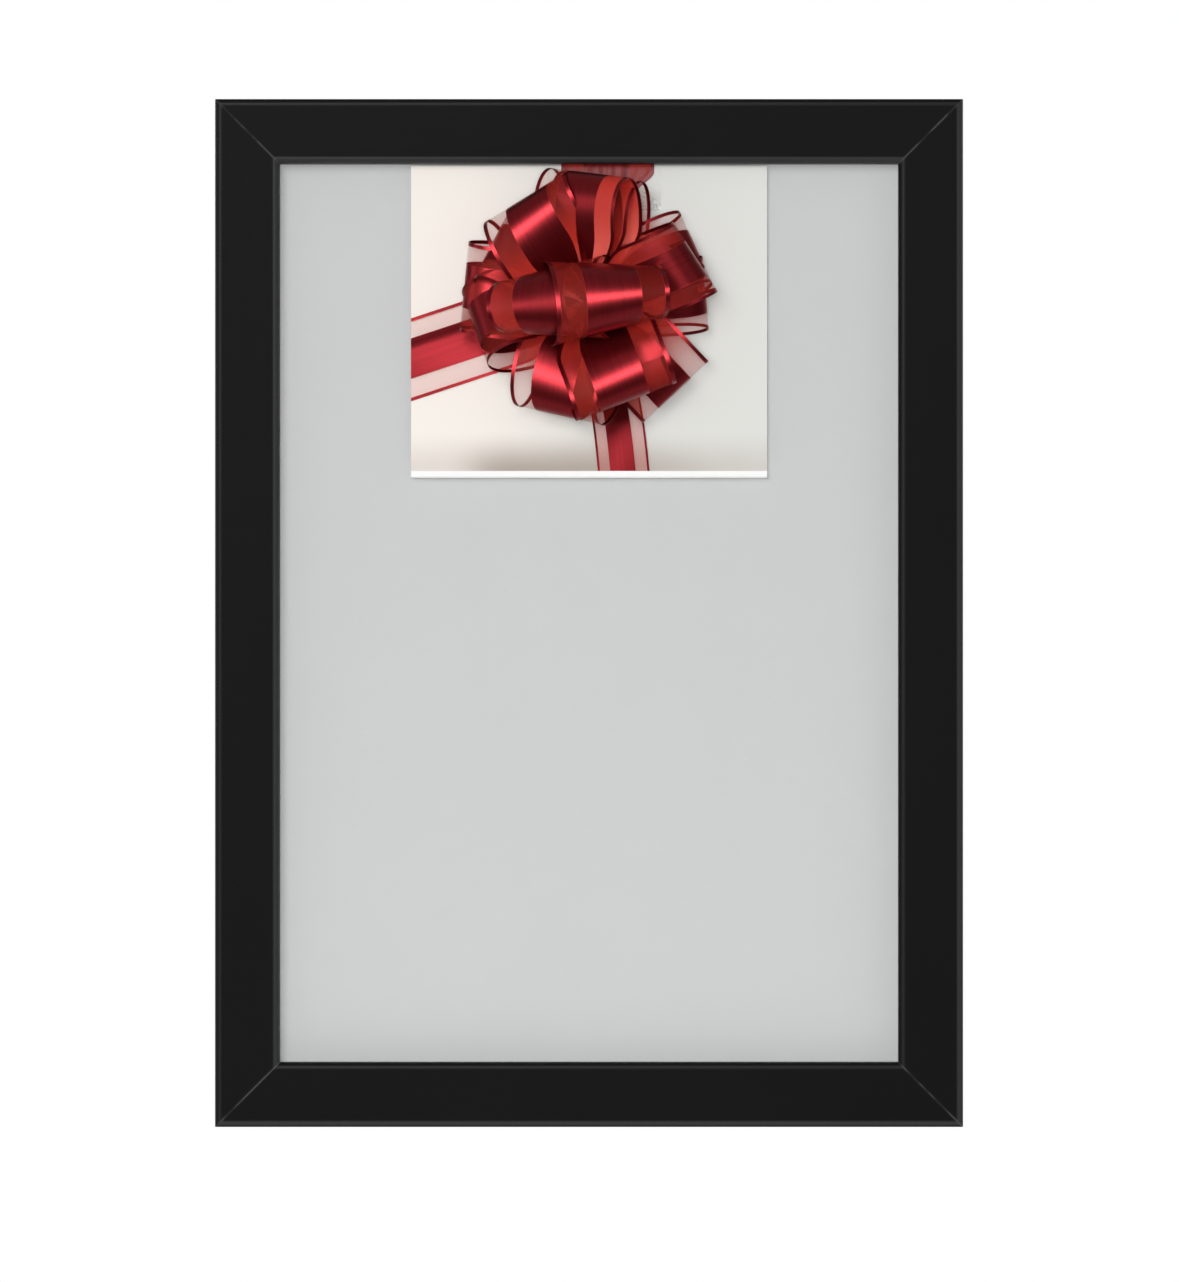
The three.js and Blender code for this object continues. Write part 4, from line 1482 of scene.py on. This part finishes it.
        def route(across: np.ndarray, along: np.ndarray) -> np.ndarray:
            """Points of the loop."""
            turn = self.loop_start + (2 * math.pi - 2 * self.loop_start) * along
            way = np.radians(loop.azimuth - loop.fan / 2 * np.cos(turn / 2))
            level = np.zeros_like(way)
            out = np.stack(
                [math.cos(rise) * np.cos(way), level - math.sin(rise), math.cos(rise) * np.sin(way)], -1
            )
            round_it = np.stack([-np.sin(way), level, np.cos(way)], -1)
            side = round_it * math.cos(roll) + np.cross(out, round_it) * math.sin(roll)
            apart = np.cross(side, out)
            cone = bulge * (1 + loop.taper * across)
            far = reach * (1 - np.cos(turn)) / 2
            off = cone * np.sin(turn) * np.sin(turn / 2)
            d_far = reach * np.sin(turn) / 2
            d_off = cone * (np.cos(turn) * np.sin(turn / 2) + np.sin(turn) * np.cos(turn / 2) / 2)
            size = np.hypot(d_far, d_off)
            full = ease(far / (self.flare * reach))
            gathered = 1 - ease((far / reach - self.pleat_full) / self.pleat_fade)
            pleat = self.pleat_depth * gathered * np.sin(2 * math.pi * self.pleats * across)
            far = far - d_off / size * pleat
            off = off + d_far / size * pleat
            wide = across * (self.pinch + (width - self.pinch) * full)
            slant = far * (1 + across * loop.skew * MM / reach)
            points = slant[:, None] * out + off[:, None] * apart + wide[:, None] * side
            return points + (far / reach)[:, None] * tip + np.array(self.middle)

        return route

    def loop_veil(self, loop: Loop) -> Route:
        """How far a loop's sheer stripes are drawn together, most at the gather."""

        def drawn(across: np.ndarray, along: np.ndarray) -> np.ndarray:
            """The number at points of the loop."""
            open_out = ease((np.sin(math.pi * along) - self.veil_full) / self.veil_fade)
            haze = loop.haze * ease(-across / self.haze_fade)
            return (1 + loop.cover) * (1 - open_out) + haze * open_out

        return drawn

    def tail_route(self, tail: Tail, depth: float) -> Route:
        """The route of a tail on the card, which lies that far forward."""
        angle = math.radians(tail.angle)
        way = Vector((math.cos(angle), 0, math.sin(angle)))
        side = Vector((-way.z, 0, way.x))
        start = self.neck_radius + self.neck_gap
        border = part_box(tail.border)[0][tail.axis] - self.middle[tail.axis]

        def route(across: np.ndarray, along: np.ndarray) -> np.ndarray:
            """Points of the tail."""
            stop = (border - side[tail.axis] * (across * tail.width)) / way[tail.axis]
            far = start + (stop - start) * along
            full = ease((far - start) / (self.tail_spread - start))
            wide = across * (self.pinch + (tail.width - self.pinch) * full)
            wide = wide + tail.sway * np.sin(math.pi * along)
            out = ease((far - self.reach / 2) / (self.reach / 2))
            raised = tail.tilt * (0.5 - across) ** self.tail_tilt_power
            folded = tail.fold * ease((self.tail_fold_at - across) / self.tail_fold_over)
            curl = (raised + folded) * out
            pleat = self.tail_pleat * (1 - full) * (1 + np.sin(2 * math.pi * self.tail_pleats * across))
            wave = self.tail_wave * (1 + np.sin(far / self.tail_wavelength + self.tail_wave_slant * across))
            y = depth - curl - pleat - wave - tail.lift * (1 - along)
            flat = far[:, None] * np.array(way) + wide[:, None] * np.array(side)
            return flat + np.stack([np.full_like(y, self.middle.x), y, np.full_like(y, self.middle.z)], -1)

        return route

    def strap_cut(self, along: np.ndarray) -> np.ndarray:
        """How much of its full width the strap is cut to, from how far along it is."""
        return 1 - self.strap_trim * ease((along - self.strap_trim_from) / self.strap_trim_over)

    def strap_route(self, low: Vector, high: Vector) -> Route:
        """The route of the strap from its tuck behind the rail down to the neck of the bow.

        Args:
            low: the tuck's lowest corner.
            high: its highest corner.

        Returns:
            A function from across and along to points.
        """
        centre, depth = (low.x + high.x) / 2, (low.y + high.y) / 2
        width = high.x - low.x
        foot = self.middle.z + self.neck_radius + self.neck_gap

        def route(across: np.ndarray, along: np.ndarray) -> np.ndarray:
            """Points of the strap."""
            z = high.z + (foot - high.z) * along
            drawn = ease((along - self.strap_draw_from) / self.strap_draw_over)
            torn = 0.02 * np.sin(9 * along + 40 * across) + 0.012 * np.sin(95 * across)
            cut = width * self.strap_cut(along + torn)
            wide = across * (cut + (self.pinch - cut) * drawn)
            x = centre + (self.middle.x - centre) * drawn + wide
            folds = np.sin(2 * math.pi * 8 * across + 2 * along) + 0.6 * np.sin(2 * math.pi * 3.3 * across)
            return np.stack([x, depth - self.strap_fold * folds, z], -1)

        return route

    def build_loops(self, finish: Material) -> None:
        """Bends the bow's one ribbon to its loops."""
        strips, used = [], 0.0
        for index, loop in enumerate(self.LOOPS):
            strip = self.strip(f"loop_{index}", self.steps_across, self.steps_along, self.loop_veil(loop))
            used += self.bend(strip, self.loop_route(loop), used)
            strips.append(strip)
        piece = self.thicken(join("bow_loops", strips))
        fit(piece, Body.BOW, Slot.RIBBON, finish, "bow_ribbon")

    def build_stem(self, finish: Material) -> None:
        """Models the pleated stem that the loops are drawn into."""
        deselect()
        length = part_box("bow_ribbon")[1].y - self.middle.y
        bpy.ops.mesh.primitive_cylinder_add(
            vertices=self.stem_sides,
            radius=self.neck_radius,
            depth=length,
            location=self.middle + Vector((0, length / 2, 0)),
            rotation=TO_FRONT,
        )
        piece = added("gathered_stem")
        with editing(piece):
            bpy.ops.mesh.select_all(action="SELECT")
            cut = self.middle + Vector((0, self.stem_cut * length, 0))
            bpy.ops.mesh.bisect(plane_co=cut, plane_no=(0, 1, 0))
        for vertex in piece.data.vertices:
            arm = vertex.co - self.middle
            flute = self.stem_flute * math.sin(self.stem_flutes * math.atan2(arm.z, arm.x))
            waist = self.stem_waist * (self.stem_waist_from < arm.y / length < self.stem_waist_to)
            vertex.co.x = self.middle.x + arm.x * (1 + flute - waist)
            vertex.co.z = self.middle.z + arm.z * (1 + flute - waist)
        fit(settle(piece, angle=STEM_ANGLE), Body.BOW, Slot.RIBBON, finish)

    def build_tie(self, finish: Material) -> None:
        """Models the two-ply cord round the neck."""
        deselect()
        low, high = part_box("gather_tie")
        around = (high.x - low.x) / 2 - self.tie_radius
        bpy.ops.mesh.primitive_torus_add(
            major_segments=160,
            minor_segments=16,
            major_radius=around,
            minor_radius=self.tie_radius,
            location=(low + high) / 2,
            rotation=TO_FRONT,
        )
        piece = named("neck_tie")
        for vertex in piece.data.vertices:
            turn = math.atan2(vertex.co.y, vertex.co.x)
            out = math.hypot(vertex.co.x, vertex.co.y) - around
            lay = math.atan2(vertex.co.z, out)
            ply = 1 - self.tie_ply + self.tie_ply * math.cos(2 * (lay + self.tie_turns * turn))
            radius = around + out * ply
            vertex.co = Vector((math.cos(turn) * radius, math.sin(turn) * radius, vertex.co.z * ply))
        fit(settle(piece, angle=SOFT_ANGLE), Body.BOW, Slot.THREAD, finish, "gather_tie")

    def build_tails(self, finish: Material) -> None:
        """Lays the two tails on the card: one to its left edge, one into its hem."""
        for label, tail in self.TAILS.items():
            strip = self.strip(
                f"ribbon_tail_{label}",
                self.steps_across,
                self.steps_tail,
                lambda across, along: tail.drawn - ease(along / self.tail_open),
            )
            length = self.bend(strip, self.tail_route(tail, middle(f"tail_{label}").y))
            piece = self.thicken(strip)
            fit(piece, Body.BOW, Slot.RIBBON, finish, f"tail_{label}")

    def build_strap(self, finish: Material) -> None:
        """Hangs the strap from behind the rail down to the neck of the bow."""
        low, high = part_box("strap_tuck")
        strip = self.strip(
            "hanging_strap",
            2 * self.steps_across,
            self.steps_strap,
            lambda across, along: np.full_like(across, self.strap_veil),
        )
        length = self.bend(strip, self.strap_route(low, high))
        piece = self.thicken(strip)
        dress(piece, finish)
        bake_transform(piece)
        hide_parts("strap_tuck", "bow_strap")
        width = high.x - low.x
        area = width * length * float(self.strap_cut(np.linspace(0, 1, self.steps_area)).mean())
        LOG.info("%s bends between %s and %s", piece.name, Body.FRAME, Body.BOW)

    def build(self, ribbon: Material, stacked: Material, thread: Material) -> None:
        """Models and dresses the bow.

        Args:
            ribbon: the finish of the loops and the tails.
            stacked: the finish of the strap, where several layers lie under the tape.
            thread: the finish of the tie.
        """
        self.build_loops(ribbon)
        self.build_stem(ribbon)
        self.build_tie(thread)
        self.build_tails(ribbon)
        self.build_strap(stacked)


@dataclass
class BowCard:
    """The white card behind the bow and the clear tape over its strap."""

    thickness: float = 0.5 * MM
    hem_height: float = 2.2 * MM
    tape_thickness: float = 0.12 * MM
    tape_margin: float = 0.9 * MM
    tape_slope: float = 0.8 * MM
    tape_crinkle: float = 0.05 * MM
    crinkle_across: float = 1.9 * MM
    crinkle_up: float = 2.9 * MM
    crinkle_sway: float = 1.7
    crinkle_bend: float = 2.3 * MM
    card_steps: tuple[int, int] = (48, 40)
    tape_steps: tuple[int, int] = (72, 28)
    hem_steps: int = 10

    def upright_grid(self, name: str, low: Vector, high: Vector, steps: tuple[int, int]) -> Piece:
        """Adds a flat grid that faces the front.

        Args:
            name: the piece's name.
            low: its lower left corner.
            high: its upper right corner, as far forward as the other.
            steps: how many faces it has across and up.

        Returns:
            The grid.
        """
        deselect()
        bpy.ops.mesh.primitive_grid_add(
            x_subdivisions=steps[0],
            y_subdivisions=steps[1],
            size=1,
            location=(low + high) / 2,
            rotation=TO_FRONT,
        )
        bpy.context.active_object.scale = (high.x - low.x, high.z - low.z, 1)
        return added(name)

    def build_card(self) -> None:
        """Models the card as a sheet, turns up its hem and gives it its thickness."""
        low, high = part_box("bow_card")
        half = self.thickness / 2
        back, front = high.y - half, low.y + half
        turn = (back - front) / 2
        fold = low.z + half + turn
        corners = Vector((low.x, back, fold)), Vector((high.x, back, high.z))
        piece = self.upright_grid("white_bow_card", *corners, self.card_steps)
        with editing(piece):
            choose_edges_at(piece, z=fold)
            axle = (0, (back + front) / 2, fold)
            bpy.ops.mesh.spin(steps=self.hem_steps, angle=math.pi, center=axle, axis=(1, 0, 0))
            extrude((0, 0, self.hem_height - half - turn))
            face_outwards(merge=True)
        apply_modifier(piece, "SOLIDIFY", thickness=self.thickness, offset=0.0)
        finish = WhiteCard(low.x, high.x, low.z + self.hem_height).make()
        fit(settle(piece, angle=CARD_ANGLE), Body.BOW, Slot.CARD, finish, "bow_card")

    def build_tape(self) -> None:
        """Lays the crinkled film over the strap and down to the card on both sides of it."""
        low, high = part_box("strap_tape")
        strap_low, strap_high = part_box("strap_tuck")
        piece = self.upright_grid("clear_tape", low, Vector((high.x, low.y, high.z)), self.tape_steps)
        drop = high.y - low.y - self.tape_thickness
        for vertex in piece.data.vertices:
            x, z = vertex.co.x, vertex.co.z
            over = float(
                ease((x - strap_low.x + self.tape_margin) / self.tape_slope)
                * ease((strap_high.x + self.tape_margin - x) / self.tape_slope)
            )
            sway = self.crinkle_sway * math.sin(z / self.crinkle_bend)
            crinkle = math.sin(x / self.crinkle_across + sway) * math.sin(z / self.crinkle_up)
            vertex.co.y = low.y + (1 - over) * drop + self.tape_crinkle * crinkle
        apply_modifier(piece, "SOLIDIFY", thickness=self.tape_thickness, offset=0.0)
        finish = ClearTape(high.x, low.z).make()
        fit(settle(piece, angle=SOFT_ANGLE), Body.BOW, Slot.TAPE, finish, "strap_tape")

    def build(self) -> None:
        """Models and dresses the card and the tape."""
        self.build_card()
        self.build_tape()


@dataclass(frozen=True)
class Lamp:
    """A square soft lamp: where it stands from the frame's middle, its side, its power and its reach."""

    name: str
    offset: tuple[float, float, float]
    size: float
    power: float
    reach: Reach = Reach.ALL

    def light(self, aim: Vector) -> None:
        """Adds the lamp, facing a point."""
        at = aim + Vector(self.offset)
        bpy.ops.object.light_add(type="AREA", location=at)
        lamp = bpy.context.active_object
        lamp.name = self.name
        lamp.data.size = self.size
        lamp.data.energy = self.power
        lamp.visible_glossy = self.reach is not Reach.MATT
        lamp.visible_diffuse = self.reach is not Reach.GLOSS
        lamp.rotation_euler = (aim - at).to_track_quat("-Z", "Y").to_euler()


@dataclass
class Studio:
    """The camera of the photograph's view, the floor, the lamps and the white surroundings."""

    photo_width: int = 1179
    photo_height: int = 1282
    frame_left_px: float = 214.8
    frame_right_px: float = 963.3
    frame_top_px: float = 98.7
    distance: float = 2.5
    view_depth: float = 50.0
    sensor: float = 36.0
    floor_drop: float = 0.10
    floor_size: float = 1.0
    dim: float = 0.20
    gloss_dim: float = 0.07
    ceiling: float = 0.25

    LAMPS = (
        Lamp("gloss_lamp", (-0.42, -2.23, 0.62), 0.64, 33.0, Reach.GLOSS),
        Lamp("left_gloss_lamp", (-2.0, -1.1, 0.25), 0.9, 7.0, Reach.GLOSS),
        Lamp("wash_lamp", (-0.36, -2.28, 0.36), 0.70, 19.5, Reach.MATT),
        Lamp("front_lamp", (0.0, -2.58, 0.0), 0.30, 27.0, Reach.MATT),
        Lamp("fill_lamp", (1.5, -1.58, 0.5), 1.2, 2.0),
        Lamp("back_lamp", (-0.9, 1.82, 0.9), 1.2, 26.0),
        Lamp("side_lamp_1", (-1.9, 0.92, 0.3), 1.0, 20.0),
        Lamp("side_lamp_3", (1.9, 0.92, 0.3), 1.0, 20.0),
    )

    def build_camera(self, low: Vector, high: Vector) -> None:
        """Sets the camera so that the frame fills the photograph's outline.

        Args:
            low: the frame's lowest corner.
            high: its highest corner.
        """
        per_pixel = (high.x - low.x) / (self.frame_right_px - self.frame_left_px)
        x = low.x + (self.photo_width / 2 - self.frame_left_px) * per_pixel
        z = high.z - (self.photo_height / 2 - self.frame_top_px) * per_pixel
        bpy.ops.object.camera_add(location=(x, low.y - self.distance, z), rotation=TO_FRONT)
        camera = bpy.context.active_object
        camera.name = "photo_camera"
        camera.data.sensor_width = self.sensor
        camera.data.lens = self.sensor * self.distance / (self.photo_height * per_pixel)
        camera.data.clip_end = self.view_depth
        bpy.context.scene.camera = camera

    def build_floor(self, low: Vector) -> None:
        """Lays the paper floor under the hung frame."""
        deselect()
        bpy.ops.mesh.primitive_plane_add(size=self.floor_size, location=(0, 0, low.z - self.floor_drop))
        floor = added("studio_floor")
        dress(floor, FloorPaper().make())

    def build_world(self) -> None:
        """White surroundings for the camera, for gloss and for glass; dim soft light for the rest."""
        world = bpy.data.worlds.new("white_studio")
        bpy.context.scene.world = world
        world.use_nodes = True
        surround = Graph(world.node_tree)
        _, y, z = surround.split(surround.node("ShaderNodeTexCoord").outputs["Generated"])
        path = surround.node("ShaderNodeLightPath").outputs
        seen = Wire(surround, path["Is Camera Ray"])
        gloss = Wire(surround, path["Is Glossy Ray"])
        glass = Wire(surround, path["Is Transmission Ray"])
        behind = y.rise(-0.25, 0.45) * abs(z).rise(0.75, 0.30)
        reflected = gloss.high(glass) * behind
        soft = self.dim + gloss * (self.gloss_dim - self.dim + z.rise(0.20, 0.85) * self.ceiling)
        inputs = {"Color": (1, 1, 1, 1), "Strength": seen.high(reflected).high(soft)}
        light = surround.node("ShaderNodeBackground", inputs=inputs)
        surround.node("ShaderNodeOutputWorld", inputs={"Surface": light.outputs[0]})

    def build(self, low: Vector, high: Vector) -> None:
        """Sets up the whole studio round the frame's box."""
        bpy.context.scene.view_settings.view_transform = "Standard"
        self.build_camera(low, high)
        self.build_floor(low)
        self.build_world()
        for lamp in self.LAMPS:
            lamp.light(Vector((0, low.y, (low.z + high.z) / 2)))


def dress_sheets(nodes: dict[str, Piece]) -> None:
    """Gives the flat sheets in the rebate, among the frame's nodes, their finishes."""
    finishes = {"glazing": Glazing(), "mount_board": MountBoard(), "backing_board": Hardboard()}
    for node, finish in finishes.items():
        dress(nodes[node], finish.make())
        LOG.info("%s keeps its shape and gets %s", node, type(finish).__name__)


def main() -> None:
    """Builds the studio and dresses the part, piece by piece."""
    logging.basicConfig(level=logging.INFO, format="%(message)s")
    moulding = Moulding()
    Studio().build(moulding.low, moulding.high)
    zinc = ZincPlate().make()
    rubber = SoftRubber().make()
    dress_sheets(FRAME["nodes"])
    moulding.build(zinc)
    BackFittings().build(zinc, rubber)
    BowCard().build()
    stacked = SheerRibbon(
        label="stacked_ribbon",
        satin=(0.26, 0.016, 0.018),
        satin_deep=(0.15, 0.008, 0.010),
        sheer=(0.34, 0.024, 0.020),
        sheer_stacked=(0.30, 0.022, 0.018),
        cover_drawn=0.48,
        metal=0.15,
        gloss=0.5,
    )
    RibbonBow().build(SheerRibbon().make(), stacked.make(), TwistedThread().make())
    deselect()


if __name__ == "__main__":
    main()
